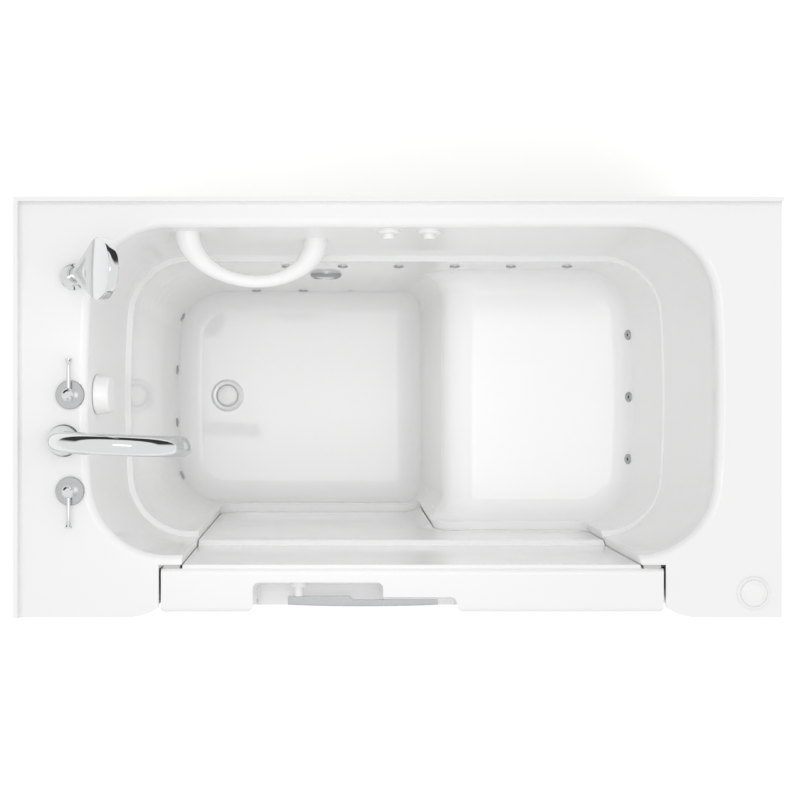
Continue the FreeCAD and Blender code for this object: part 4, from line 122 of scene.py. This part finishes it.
# Hand shower
HANDLE_RADIUS = 0.0124
WAIST_RADIUS = 0.0118
WAIST_LEVEL = 0.038
FLARE_WIDTH = 0.0526
FLARE_DEPTH = 0.0075
FLARE_POWER = 1.1
FLARE_STEPS = 24
FLARE_SIDES = 64
HEAD_LEVEL = 0.147
HEAD_RADIUS = 0.053
HEAD_HALF = 0.009
HEAD_LEAN = math.radians(5.0)
HEAD_SHIFT = -0.05
HEAD_SIDES = 96
HEAD_RECESS = 0.8

# Detail pieces
HOSE_RADIUS = 0.018
PIPE_RADIUS = 0.016
SPOUT_BORE = 0.011
NOZZLE_RINGS = ((0.0, 1), (0.010, 6), (0.020, 12), (0.030, 18), (0.039, 24))
FIN_COUNT = 36
FIN_HALF = 0.0014
MESH_BARS = 3
MESH_SPACING = 0.22
LID_INSET = 0.011
GLAND_LENGTH = 0.016
SCREW_RADIUS = 0.0034
COUPLING_SHARES = (0.24, 0.78)
FOOT_SPREAD = 0.08
ROUND_STEPS = 32
FINE_STEPS = 48

# Points this close to a flat end belong to it
FACE_GAP = 0.0004
MOUTH_GAP = 0.0003
SOLE_GAP = 0.0005

# Directions
EVEN = (1.0, 1.0, 1.0)
AXIS_X = Vector((1, 0, 0))
AXIS_Y = Vector((0, 1, 0))
AXIS_Z = Vector((0, 0, 1))
AXES = (AXIS_X, AXIS_Y, AXIS_Z)

# Smooth shading joins faces that meet at less than this angle
SMOOTH_ANGLE = math.radians(32.0)


def add_node(tree, kind, **settings):
    node = tree.nodes.new(kind)
    for name, value in settings.items():
        setattr(node, name, value)
    return node


def new_material(name):
    material = bpy.data.materials.new(name)
    material.use_nodes = True
    tree = material.node_tree
    shader = tree.nodes["Principled BSDF"]
    return material, tree, shader


def noise_between(tree, scale, detail, low=0.0, high=1.0, stretch=EVEN):
    """A value that wanders between low and high over the surface."""
    place = add_node(tree, "ShaderNodeTexCoord")
    mapping = add_node(tree, "ShaderNodeMapping")
    mapping.inputs["Scale"].default_value = stretch
    noise = add_node(tree, "ShaderNodeTexNoise")
    noise.inputs["Scale"].default_value = scale
    noise.inputs["Detail"].default_value = detail
    spread = add_node(tree, "ShaderNodeMapRange")
    spread.inputs["To Min"].default_value = low
    spread.inputs["To Max"].default_value = high
    tree.links.new(place.outputs["Object"], mapping.inputs["Vector"])
    tree.links.new(mapping.outputs["Vector"], noise.inputs["Vector"])
    tree.links.new(noise.outputs["Fac"], spread.inputs["Value"])
    return spread.outputs["Result"]


def colour_between(tree, factor, first, second):
    mix = add_node(tree, "ShaderNodeMix", data_type="RGBA")
    mix.inputs[6].default_value = (*first, 1.0)
    mix.inputs[7].default_value = (*second, 1.0)
    tree.links.new(factor, mix.inputs[0])
    return mix.outputs[2]


def math_node(tree, operation, first, second):
    """A sum or comparison of two values, each a socket or a number."""
    node = add_node(tree, "ShaderNodeMath", operation=operation)
    for socket, value in zip(node.inputs, (first, second)):
        if isinstance(value, float):
            socket.default_value = value
        else:
            tree.links.new(value, socket)
    return node.outputs[0]


def add_bump(tree, shader, height, strength, distance):
    bump = add_node(tree, "ShaderNodeBump")
    bump.inputs["Strength"].default_value = strength
    bump.inputs["Distance"].default_value = distance
    tree.links.new(height, bump.inputs["Height"])
    tree.links.new(bump.outputs["Normal"], shader.inputs["Normal"])


def plain_material(name, first, second, rough, metal=0.0, colour_scale=6.0, rough_scale=14.0,
                   bump_scale=400.0, bump=0.05, bump_depth=0.0004, coat=0.0, coat_rough=0.05,
                   stretch=EVEN):
    """A surface with slow colour variation, uneven gloss and a fine texture."""
    material, tree, shader = new_material(name)
    blend = noise_between(tree, colour_scale, 4.0, stretch=stretch)
    tree.links.new(colour_between(tree, blend, first, second), shader.inputs["Base Color"])
    gloss = noise_between(tree, rough_scale, 5.0, rough[0], rough[1], stretch)
    tree.links.new(gloss, shader.inputs["Roughness"])
    shader.inputs["Metallic"].default_value = metal
    shader.inputs["Coat Weight"].default_value = coat
    shader.inputs["Coat Roughness"].default_value = coat_rough
    fine = noise_between(tree, bump_scale, 3.0, stretch=stretch)
    add_bump(tree, shader, fine, bump, bump_depth)
    return material


def shell_material():
    """Polished acrylic inside, and a chopped strand glass backing on the side that faces out or down."""
    material, tree, shader = new_material("shell_acrylic")
    geometry = add_node(tree, "ShaderNodeNewGeometry")
    place = add_node(tree, "ShaderNodeSeparateXYZ")
    facing = add_node(tree, "ShaderNodeSeparateXYZ")
    tree.links.new(geometry.outputs["Position"], place.inputs[0])
    tree.links.new(geometry.outputs["True Normal"], facing.inputs[0])
    limit = add_node(tree, "ShaderNodeMapRange")
    limit.inputs["From Min"].default_value = SEAT_UNDERSIDE - SEAT_BLEND
    limit.inputs["From Max"].default_value = SEAT_UNDERSIDE + SEAT_BLEND
    limit.inputs["To Min"].default_value = WELL_AXIS
    limit.inputs["To Max"].default_value = BASIN_AXIS
    tree.links.new(place.outputs["Z"], limit.inputs["Value"])
    below = math_node(tree, "MINIMUM", place.outputs["X"], limit.outputs["Result"])
    axis = math_node(tree, "MAXIMUM", below, -BASIN_AXIS)
    outward = add_node(tree, "ShaderNodeCombineXYZ")
    tree.links.new(math_node(tree, "SUBTRACT", place.outputs["X"], axis), outward.inputs["X"])
    tree.links.new(math_node(tree, "SUBTRACT", place.outputs["Y"], BASIN_MIDDLE), outward.inputs["Y"])
    unit = add_node(tree, "ShaderNodeVectorMath", operation="NORMALIZE")
    tree.links.new(outward.outputs[0], unit.inputs[0])
    turn = add_node(tree, "ShaderNodeVectorMath", operation="DOT_PRODUCT")
    tree.links.new(unit.outputs["Vector"], turn.inputs[0])
    tree.links.new(geometry.outputs["True Normal"], turn.inputs[1])
    away = math_node(tree, "GREATER_THAN", turn.outputs["Value"], OUTWARD_LEAST)
    not_front = math_node(tree, "GREATER_THAN", facing.outputs["Y"], FRONT_LEAST)
    out = math_node(tree, "MULTIPLY", away, not_front)
    down = math_node(tree, "LESS_THAN", facing.outputs["Z"], DOWN_MOST)
    under_deck = math_node(tree, "LESS_THAN", place.outputs["Z"], BACKING_TOP)
    backing = math_node(tree, "MULTIPLY", math_node(tree, "MAXIMUM", out, down), under_deck)
    slow = noise_between(tree, 6.0, 4.0)
    acrylic = colour_between(tree, slow, (0.915, 0.915, 0.913), (0.925, 0.925, 0.924))
    strands = noise_between(tree, 55.0, 6.0, stretch=(1.0, 1.0, 3.5))
    glass = colour_between(tree, strands, (0.60, 0.585, 0.50), (0.76, 0.745, 0.67))
    mix = add_node(tree, "ShaderNodeMix", data_type="RGBA")
    tree.links.new(backing, mix.inputs[0])
    tree.links.new(acrylic, mix.inputs[6])
    tree.links.new(glass, mix.inputs[7])
    tree.links.new(mix.outputs[2], shader.inputs["Base Color"])
    polish = noise_between(tree, 14.0, 5.0, 0.04, 0.07)
    gloss = math_node(tree, "ADD", polish, math_node(tree, "MULTIPLY", backing, 0.4))
    tree.links.new(gloss, shader.inputs["Roughness"])
    depth = math_node(tree, "MULTIPLY", strands, backing)
    add_bump(tree, shader, depth, 0.35, 0.0012)
    return material


def lens_material():
    material, tree, shader = new_material("lamp_lens")
    blend = noise_between(tree, 30.0, 2.0)
    tint = colour_between(tree, blend, (0.88, 0.92, 0.95), (0.94, 0.96, 0.97))
    tree.links.new(tint, shader.inputs["Base Color"])
    shader.inputs["Transmission Weight"].default_value = 0.55
    shader.inputs["Roughness"].default_value = 0.12
    shader.inputs["IOR"].default_value = 1.49
    fine = noise_between(tree, 500.0, 1.0)
    add_bump(tree, shader, fine, 0.25, 0.0006)
    return material


MATERIALS = {
    "white_acrylic": plain_material(
        "white_acrylic", (0.915, 0.915, 0.913), (0.925, 0.925, 0.924), (0.10, 0.17), bump_scale=90.0,
        bump=0.02, bump_depth=0.0003, coat=0.6, coat_rough=0.03),
    "white_trim": plain_material(
        "white_trim", (0.90, 0.90, 0.897), (0.915, 0.915, 0.912), (0.18, 0.28), bump_scale=260.0,
        bump=0.03, coat=0.3),
    "seal_rubber": plain_material(
        "seal_rubber", (0.62, 0.62, 0.61), (0.70, 0.70, 0.69), (0.55, 0.75), bump_scale=900.0, bump=0.12),
    "chrome_plate": plain_material(
        "chrome_plate", (0.70, 0.705, 0.71), (0.74, 0.745, 0.75), (0.03, 0.07), metal=1.0,
        bump_scale=60.0, bump=0.01, bump_depth=0.0002),
    "stainless_steel": plain_material(
        "stainless_steel", (0.52, 0.53, 0.54), (0.66, 0.67, 0.68), (0.24, 0.42), metal=1.0, colour_scale=20.0,
        bump_scale=300.0, bump=0.08, stretch=(1.0, 1.0, 12.0)),
    "valve_brass": plain_material(
        "valve_brass", (0.62, 0.46, 0.20), (0.74, 0.58, 0.30), (0.22, 0.40), metal=1.0, colour_scale=30.0,
        bump_scale=350.0, bump=0.1),
    "white_pipe": plain_material(
        "white_pipe", (0.76, 0.76, 0.74), (0.82, 0.82, 0.80), (0.34, 0.48), bump_scale=200.0, bump=0.05),
    "grey_plastic": plain_material(
        "grey_plastic", (0.20, 0.205, 0.21), (0.25, 0.255, 0.26), (0.42, 0.58), bump_scale=1100.0, bump=0.16),
    "black_plastic": plain_material(
        "black_plastic", (0.018, 0.018, 0.02), (0.03, 0.03, 0.033), (0.40, 0.55), bump_scale=1100.0,
        bump=0.18),
    "coated_steel": plain_material(
        "coated_steel", (0.13, 0.135, 0.14), (0.17, 0.175, 0.18), (0.38, 0.52), bump_scale=420.0,
        bump=0.10, coat=0.15),
    "lamp_lens": lens_material(),
}

SLOT_OF = {piece["node"]: piece["material_slot"] for piece in frame["record"]["subparts"]}

for name, node in frame["nodes"].items():
    node.data.materials.clear()
    node.data.materials.append(MATERIALS[SLOT_OF[name]])
    for polygon in node.data.polygons:
        polygon.use_smooth = True
    node.data.set_sharp_from_angle(angle=SMOOTH_ANGLE)
frame["nodes"]["tub_shell"].data.materials[0] = shell_material()
# Satin chrome whose darker base colour is a painted reflection: it stands in for the plain grey the flat
# plated faces reflect, while its higher roughness is the real satin finish
PAINTED_DARK_PLATE = plain_material(
    "satin_plate_painted_dark", (0.44, 0.445, 0.45), (0.48, 0.485, 0.49), (0.16, 0.24), metal=1.0, bump_scale=700.0,
    bump=0.04, bump_depth=0.0002)
# A paler, rougher copy of the chrome for the drain flange: its lighter base colour is a painted pale
# reflection, standing in for the flat light tone the sloped ring reflects
PAINTED_PALE_PLATE = plain_material(
    "satin_plate_painted_pale", (0.80, 0.803, 0.806), (0.84, 0.843, 0.846), (0.36, 0.46), metal=1.0,
    bump_scale=700.0, bump=0.04, bump_depth=0.0002)
for name in PAINTED_DARK_PLATE_NODES:
    frame["nodes"][name].data.materials[0] = PAINTED_DARK_PLATE
frame["nodes"]["drain_flange"].data.materials[0] = PAINTED_PALE_PLATE


# Detail pieces
def lathe(mesh, profile, place, axis, steps=ROUND_STEPS):
    """Turns (radius, height) points about an axis; a third number gives a ring that many flat sides."""
    axis = Vector(axis).normalized()
    across = axis.orthogonal().normalized()
    along = axis.cross(across)
    rings = []
    for radius, height, *sides in profile:
        centre = Vector(place) + axis * height
        if radius == 0.0:
            rings.append([mesh.verts.new(centre)])
            continue
        ring = []
        for step in range(steps):
            angle = 2 * math.pi * step / steps
            reach = radius
            if sides:
                half = math.pi / sides[0]
                reach = radius * math.cos(half) / math.cos(angle % (2 * half) - half)
            ring.append(mesh.verts.new(centre + (across * math.cos(angle) + along * math.sin(angle)) * reach))
        rings.append(ring)
    for lower, upper in zip(rings, rings[1:]):
        for step in range(steps):
            after = (step + 1) % steps
            corners = [lower[step % len(lower)], lower[after % len(lower)], upper[after % len(upper)],
                       upper[step % len(upper)]]
            mesh.faces.new(list(dict.fromkeys(corners)))


def join_rings(mesh, rings):
    """Walls between rings of the same count of points, and a cap on each end."""
    for lower, upper in zip(rings, rings[1:]):
        for step in range(len(lower)):
            after = (step + 1) % len(lower)
            mesh.faces.new([lower[step], lower[after], upper[after], upper[step]])
    mesh.faces.new(rings[0])
    mesh.faces.new(rings[-1])


def bar(mesh, start, end, side, depth):
    """A straight bar from start to end that thins towards the side of depth."""
    start = Vector(start)
    end = Vector(end)
    side = Vector(side)
    depth = Vector(depth)
    corners = (-side, side, side * 0.6 + depth, -side * 0.6 + depth)
    first, second = [[mesh.verts.new(place + corner) for corner in corners] for place in (start, end)]
    mesh.faces.new(first)
    mesh.faces.new(second[::-1])
    for step in range(4):
        after = (step + 1) % 4
        mesh.faces.new([first[after], first[step], second[step], second[after]])


def add_piece(name, mesh, slot, body):
    bmesh.ops.recalc_face_normals(mesh, faces=mesh.faces)
    data = bpy.data.meshes.new(name)
    mesh.to_mesh(data)
    mesh.free()
    for polygon in data.polygons:
        polygon.use_smooth = True
    data.set_sharp_from_angle(angle=SMOOTH_ANGLE)
    data.materials.append(MATERIALS[slot])
    piece = bpy.data.objects.new(name, data)
    bpy.context.scene.collection.objects.link(piece)
    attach(piece, body)
    return piece


def middle_of(node):
    low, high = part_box(node)
    return (Vector(low) + Vector(high)) / 2


def points_of(node):
    return [vertex.co.copy() for vertex in frame["nodes"][node].data.vertices]


def middle_of_points(points, directions):
    """The middle of the points' spread along each of three directions."""
    middle = Vector((0.0, 0.0, 0.0))
    for direction in directions:
        along = [point.dot(direction) for point in points]
        middle += direction * (min(along) + max(along)) / 2
    return middle


def joint_axis(name):
    for joint in frame["record"]["behaviour"]["joints"]:
        if joint["name"] == name:
            return Vector(joint["axis"]).normalized()


def shower_frame():
    """The hand shower's foot, and the directions of its handle, head, side, front and spray."""
    handle = joint_axis("shower_lift")
    side = (AXIS_Y - handle * AXIS_Y.dot(handle)).normalized()
    front = side.cross(handle)
    points = points_of("hand_shower")
    lowest = min(point.dot(handle) for point in points)
    foot = [point for point in points if point.dot(handle) < lowest + FACE_GAP]
    base = middle_of_points(foot, (handle, side, front))
    head = (handle * math.cos(HEAD_LEAN) + front * math.sin(HEAD_LEAN)).normalized()
    spray = side.cross(head)
    return SimpleNamespace(base=base, handle=handle, head=head, side=side, front=front, spray=spray)


SHOWER = shower_frame()


def shower_line(level):
    """A point on the hand shower's slightly bent middle line."""
    above = max(level - WAIST_LEVEL, 0.0)
    length = HEAD_LEVEL - WAIST_LEVEL
    bend = math.tan(HEAD_LEAN) * above * above / (2 * length)
    straight = SHOWER.base + SHOWER.handle * level
    return straight + SHOWER.side * above * HEAD_SHIFT + SHOWER.front * bend


def hand_shower():
    """Handle, wide flare and a flat round head."""
    side = SHOWER.side
    mesh = bmesh.new()
    lathe(mesh, [(0.0, 0.0), (HANDLE_RADIUS * 0.93, 0.0), (HANDLE_RADIUS, 0.0008), (HANDLE_RADIUS, 0.030),
                 (WAIST_RADIUS, 0.036), (WAIST_RADIUS, 0.042), (0.0, 0.042)],
          SHOWER.base, SHOWER.handle, FINE_STEPS)
    rings = []
    for step in range(FLARE_STEPS + 1):
        share = step / FLARE_STEPS
        centre = shower_line(WAIST_LEVEL + (HEAD_LEVEL - WAIST_LEVEL) * share)
        wide = WAIST_RADIUS + (FLARE_WIDTH - WAIST_RADIUS) * math.sin(math.pi / 2 * share ** FLARE_POWER)
        deep = WAIST_RADIUS + (FLARE_DEPTH - WAIST_RADIUS) * share
        thick = side.cross(SHOWER.handle.lerp(SHOWER.head, share).normalized())
        ring = []
        for turn in range(FLARE_SIDES):
            angle = 2 * math.pi * turn / FLARE_SIDES
            offset = side * wide * math.cos(angle) + thick * deep * math.sin(angle)
            ring.append(mesh.verts.new(centre + offset))
        rings.append(ring)
    join_rings(mesh, rings)
    radius = HEAD_RADIUS
    half = HEAD_HALF
    lathe(mesh, [(0.0, -half), (radius * 0.955, -half), (radius * 0.98, -half * 0.93),
                 (radius * 0.995, -half * 0.75), (radius, -half * 0.45), (radius, half * 0.55),
                 (radius * 0.99, half * 0.83), (radius * 0.96, half), (radius * 0.87, half),
                 (radius * 0.84, half * HEAD_RECESS), (0.0, half * HEAD_RECESS)],
          shower_line(HEAD_LEVEL), SHOWER.spray, HEAD_SIDES)
    piece = add_piece("hand_shower_body", mesh, "chrome_plate", "shower")
    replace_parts(piece, "hand_shower")


def spray_nozzles():
    """Soft nipples in rings on the recessed face of the hand shower."""
    spray = SHOWER.spray
    centre = shower_line(HEAD_LEVEL) + spray * HEAD_HALF * HEAD_RECESS
    mesh = bmesh.new()
    lathe(mesh, [(0.0, 0.0002), (0.0432, 0.0002), (0.0436, 0.0), (0.0436, -0.0004)], centre, spray)
    for radius, count in NOZZLE_RINGS:
        for step in range(count):
            angle = 2 * math.pi * step / count
            place = centre + (SHOWER.head * math.cos(angle) + SHOWER.side * math.sin(angle)) * radius
            lathe(mesh, [(0.0019, 0.0001), (0.0016, 0.0012), (0.0012, 0.0016), (0.0006, 0.0016),
                         (0.0005, 0.0008), (0.0, 0.0008)], place, spray, 10)
    add_piece("spray_nozzles", mesh, "grey_plastic", "shower")


def grab_bar():
    """Sloping arched bar, slim in the middle, that widens towards its two ends on the wall."""
    points = points_of("grab_bar")
    bolts_low, bolts_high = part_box("grab_bar_bolts")
    left_x = bolts_low[0] + BAR_WASHER_RADIUS
    right_x = bolts_high[0] - BAR_WASHER_RADIUS
    middle_x = (left_x + right_x) / 2
    left_wall = max(point.y for point in points if point.x < middle_x)
    right_wall = max(point.y for point in points if point.x > middle_x)
    left = Vector((left_x, left_wall, bolts_high[2] - BAR_WASHER_RADIUS))
    right = Vector((right_x, right_wall, bolts_low[2] + BAR_WASHER_RADIUS))
    half = (right - left) / 2
    reach = AXIS_Y * -BAR_REACH
    across = half.cross(reach).normalized()
    mesh = bmesh.new()
    rings = []
    for step in range(BAR_STEPS + 1):
        turn = math.pi * step / BAR_STEPS
        swell = abs(math.cos(turn)) ** 3
        radius = BAR_MIDDLE_RADIUS + (BAR_END_RADIUS - BAR_MIDDLE_RADIUS) * swell
        place = (left + right) / 2 - half * math.cos(turn) + reach * math.sin(turn)
        along = (half * math.sin(turn) + reach * math.cos(turn)).normalized()
        out = along.cross(across)
        ring = []
        for part in range(ROUND_STEPS):
            angle = 2 * math.pi * part / ROUND_STEPS
            offset = (out * math.cos(angle) + across * math.sin(angle)) * radius
            ring.append(mesh.verts.new(place + offset))
        rings.append(ring)
    join_rings(mesh, rings)
    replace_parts(add_piece("grab_bar_body", mesh, "white_trim", "tub"), "grab_bar")


def aerator():
    """Ring and mesh in the mouth of the spout."""
    points = points_of("spout")
    low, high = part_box("spout")
    far = low[0] + 0.7 * (high[0] - low[0])
    tip = [point for point in points if point.x > far]
    level = min(point.z for point in tip)
    mouth = [point for point in tip if point.z < level + MOUTH_GAP]
    centre = middle_of_points(mouth, AXES)
    bore = SPOUT_BORE - 0.0002
    mesh = bmesh.new()
    lathe(mesh, [(bore, 0.0060), (bore, 0.0008), (bore * 0.96, 0.0004), (bore * 0.84, 0.0004),
                 (bore * 0.80, 0.0010), (bore * 0.80, 0.0060)], centre, AXIS_Z)
    for step in range(-MESH_BARS, MESH_BARS + 1):
        offset = step * bore * MESH_SPACING
        reach = math.sqrt(max((bore * 0.82) ** 2 - offset ** 2, 0.0))
        for along, across in ((AXIS_X, AXIS_Y), (AXIS_Y, AXIS_X)):
            place = centre + across * offset + AXIS_Z * 0.0022
            bar(mesh, place - along * reach, place + along * reach, across * 0.0003, AXIS_Z * 0.0008)
    add_piece("spout_aerator", mesh, "grey_plastic", "tub")


def button_screw(mesh, place, axis, radius):
    """Domed head with a hexagon socket."""
    lathe(mesh, [(radius, -0.0002), (radius, radius * 0.18), (radius * 0.86, radius * 0.48),
                 (radius * 0.62, radius * 0.62), (radius * 0.5, radius * 0.62, 6),
                 (radius * 0.48, radius * 0.2, 6), (0.0, radius * 0.12)], place, axis, 24)


def control_box_fittings():
    """Lid screws, and the nut of the cable gland."""
    low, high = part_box("control_box")
    back = high[1] - LID_INSET
    front = low[1] + GLAND_LENGTH + LID_INSET
    mesh = bmesh.new()
    for x in (low[0] + LID_INSET, high[0] - LID_INSET):
        for y in (front, back):
            button_screw(mesh, (x, y, high[2]), AXIS_Z, SCREW_RADIUS)
    add_piece("control_box_screws", mesh, "stainless_steel", "tub")
    points = [point for point in points_of("control_box") if point.y < low[1] + FACE_GAP]
    centre = middle_of_points(points, AXES)
    mesh = bmesh.new()
    lathe(mesh, [(0.0092, 0.0002), (0.0104, 0.0016), (0.0120, 0.0020, 6), (0.0122, 0.0090, 6),
                 (0.0112, 0.0098), (0.0092, 0.0098)], centre, AXIS_Y, 36)
    add_piece("control_box_gland_nut", mesh, "black_plastic", "tub")


def motor_fins():
    """Upright cooling fins round the step of the blower motor."""
    low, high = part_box("blower_motor")
    centre = middle_of("blower_motor")
    radius = (high[0] - low[0]) / 2
    height = high[2] - low[2]
    mesh = bmesh.new()
    for step in range(FIN_COUNT):
        angle = 2 * math.pi * step / FIN_COUNT
        out = Vector((math.cos(angle), math.sin(angle), 0.0))
        side = Vector((-math.sin(angle), math.cos(angle), 0.0)) * FIN_HALF
        foot = Vector((centre.x, centre.y, low[2])) + out * radius * 0.855
        start = foot + AXIS_Z * height * 0.60
        end = foot + AXIS_Z * height * 0.885
        bar(mesh, start, end, side, out * radius * 0.11)
    add_piece("blower_motor_fins", mesh, "coated_steel", "tub")


def hose_clamp(mesh, place, radius, turn):
    """Worm drive band with its screw housing."""
    lathe(mesh, [(radius, -0.0062), (radius + 0.0010, -0.0060), (radius + 0.0012, -0.0040),
                 (radius + 0.0012, 0.0040), (radius + 0.0010, 0.0060), (radius, 0.0062)],
          place, AXIS_Z, FINE_STEPS)
    out = Vector((math.cos(turn), math.sin(turn), 0.0))
    side = Vector((-math.sin(turn), math.cos(turn), 0.0))
    base = Vector(place) + out * (radius + 0.0008)
    bar(mesh, base - side * 0.009, base + side * 0.009, AXIS_Z * 0.0056, out * 0.0062)
    lathe(mesh, [(0.0, -0.0005), (0.0030, -0.0005), (0.0034, 0.0, 6), (0.0034, 0.0044, 6), (0.0028, 0.0050),
                 (0.0, 0.0050)], base + side * 0.0085 + out * 0.0034, side, 24)


def hose_clamps():
    mesh = bmesh.new()
    cap = middle_of("air_intake_cap")
    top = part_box("intake_hose")[1][2]
    hose_clamp(mesh, (cap.x, cap.y, top - 0.014), HOSE_RADIUS, -0.6)
    motor = middle_of("blower_motor")
    hose_clamp(mesh, (motor.x, motor.y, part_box("blower_motor")[1][2] + 0.012), HOSE_RADIUS, 0.9)
    add_piece("intake_hose_clamps", mesh, "stainless_steel", "tub")


def pipe_couplings():
    """Slip couplings along the riser, each with a stop bead at its middle."""
    riser = middle_of("air_riser")
    low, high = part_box("air_riser")
    outer = PIPE_RADIUS + 0.0028
    mesh = bmesh.new()
    for share in COUPLING_SHARES:
        level = low[2] + (high[2] - low[2]) * share
        lathe(mesh, [(PIPE_RADIUS, -0.020), (outer - 0.0006, -0.020), (outer, -0.0192), (outer, -0.0014),
                     (outer + 0.0007, -0.0008), (outer + 0.0007, 0.0008), (outer, 0.0014), (outer, 0.0192),
                     (outer - 0.0006, 0.020), (PIPE_RADIUS, 0.020)],
              (riser.x, riser.y, level), AXIS_Z, FINE_STEPS)
    add_piece("air_riser_couplings", mesh, "white_pipe", "tub")


def foot_pads():
    """Rubber rims round the soles of the levelling feet."""
    soles = [point for point in points_of("levelling_feet") if point.z < SOLE_GAP]
    groups = []
    for point in soles:
        for group in groups:
            if (group[0] - point).length < FOOT_SPREAD:
                group.append(point)
                break
        else:
            groups.append([point])
    mesh = bmesh.new()
    for group in groups:
        centre = middle_of_points(group, AXES)
        radius = max((point - centre).length for point in group)
        lathe(mesh, [(radius - 0.0004, 0.0002), (radius + 0.0008, 0.0004), (radius + 0.0014, 0.0016),
                     (radius + 0.0011, 0.0034), (radius - 0.0004, 0.0040)], centre, AXIS_Z, FINE_STEPS)
    add_piece("foot_pad_rims", mesh, "black_plastic", "tub")


hand_shower()
spray_nozzles()
grab_bar()
aerator()
control_box_fittings()
motor_fins()
hose_clamps()
pipe_couplings()
foot_pads()


# Studio
def floor_material():
    material, tree, shader = new_material("studio_floor")
    blend = noise_between(tree, 2.0, 3.0)
    white = colour_between(tree, blend, (0.93, 0.93, 0.93), (0.95, 0.95, 0.95))
    tree.links.new(white, shader.inputs["Base Color"])
    shader.inputs["Roughness"].default_value = 0.9
    path = add_node(tree, "ShaderNodeLightPath")
    seen = math_node(tree, "MAXIMUM", path.outputs["Is Camera Ray"], path.outputs["Is Glossy Ray"])
    seen = math_node(tree, "MAXIMUM", seen, path.outputs["Is Transmission Ray"])
    shader.inputs["Emission Color"].default_value = (1.0, 1.0, 1.0, 1.0)
    tree.links.new(math_node(tree, "MULTIPLY", seen, FLOOR_GLOW), shader.inputs["Emission Strength"])
    return material


def make_floor():
    mesh = bpy.data.meshes.new("studio_floor")
    half = FLOOR_SIZE / 2
    corners = [(-half, -half, 0.0), (half, -half, 0.0), (half, half, 0.0), (-half, half, 0.0)]
    mesh.from_pydata(corners, [], [(0, 1, 2, 3)])
    floor = bpy.data.objects.new("studio_floor", mesh)
    floor.location.z = CAD_BOX[0][2] - FLOOR_GAP
    bpy.context.scene.collection.objects.link(floor)
    mesh.materials.append(floor_material())


def make_world():
    """White for the camera and through glass, plain for the light, dark at the back in reflections."""
    world = bpy.data.worlds.new("studio_world")
    bpy.context.scene.world = world
    world.use_nodes = True
    tree = world.node_tree
    background = tree.nodes["Background"]
    background.inputs["Color"].default_value = (1.0, 1.0, 1.0, 1.0)
    place = add_node(tree, "ShaderNodeTexCoord")
    parts = add_node(tree, "ShaderNodeSeparateXYZ")
    tree.links.new(place.outputs["Generated"], parts.inputs[0])
    low = add_node(tree, "ShaderNodeMapRange", interpolation_type="SMOOTHSTEP")
    low.inputs["From Min"].default_value = SKY_DARK_TOP
    low.inputs["From Max"].default_value = SKY_DARK_TOP - SKY_DARK_BLEND
    tree.links.new(parts.outputs["Z"], low.inputs["Value"])
    back = add_node(tree, "ShaderNodeMapRange", interpolation_type="SMOOTHSTEP")
    back.inputs["From Min"].default_value = SKY_BACK_FROM
    back.inputs["From Max"].default_value = SKY_BACK_TO
    tree.links.new(parts.outputs["Y"], back.inputs["Value"])
    dark = add_node(tree, "ShaderNodeMapRange")
    dark.inputs["To Min"].default_value = 1.0
    dark.inputs["To Max"].default_value = SKY_DARK
    tree.links.new(math_node(tree, "MULTIPLY", low.outputs[0], back.outputs[0]), dark.inputs["Value"])
    path = add_node(tree, "ShaderNodeLightPath")
    glossy = add_node(tree, "ShaderNodeMix", data_type="FLOAT")
    glossy.inputs[2].default_value = SKY_LEVEL
    camera = add_node(tree, "ShaderNodeMix", data_type="FLOAT")
    camera.inputs[3].default_value = 1.0
    tree.links.new(path.outputs["Is Glossy Ray"], glossy.inputs[0])
    tree.links.new(dark.outputs["Result"], glossy.inputs[3])
    seen = math_node(tree, "MAXIMUM", path.outputs["Is Camera Ray"], path.outputs["Is Transmission Ray"])
    tree.links.new(seen, camera.inputs[0])
    tree.links.new(glossy.outputs[0], camera.inputs[2])
    tree.links.new(camera.outputs[0], background.inputs["Strength"])


def area_light(name, place, size, power, reflected):
    """A flat lamp that points straight down."""
    data = bpy.data.lights.new(name, "AREA")
    data.shape = "RECTANGLE"
    data.size = size[0]
    data.size_y = size[1]
    data.energy = power
    light = bpy.data.objects.new(name, data)
    light.location = place
    light.visible_camera = False
    light.visible_glossy = reflected
    bpy.context.scene.collection.objects.link(light)


def make_camera():
    data = bpy.data.cameras.new("camera")
    data.lens = CAMERA_LENS
    data.sensor_width = SENSOR_WIDTH
    data.sensor_fit = "HORIZONTAL"
    data.clip_end = CAMERA_CLIP
    camera = bpy.data.objects.new("camera", data)
    camera.location = (CAMERA_X, CAMERA_Y, CAMERA_Z)
    bpy.context.scene.collection.objects.link(camera)
    bpy.context.scene.camera = camera


make_floor()
make_world()
area_light("key", KEY_PLACE, (KEY_SIZE, KEY_SIZE), KEY_POWER, False)
area_light("softbox", SOFTBOX_PLACE, SOFTBOX_SIZE, SOFTBOX_POWER, True)
area_light("basin_fill", BASIN_FILL_PLACE, BASIN_FILL_SIZE, BASIN_FILL_POWER, False)
area_light("well_fill", WELL_FILL_PLACE, WELL_FILL_SIZE, WELL_FILL_POWER, False)
make_camera()
bpy.context.scene.view_settings.view_transform = "Standard"
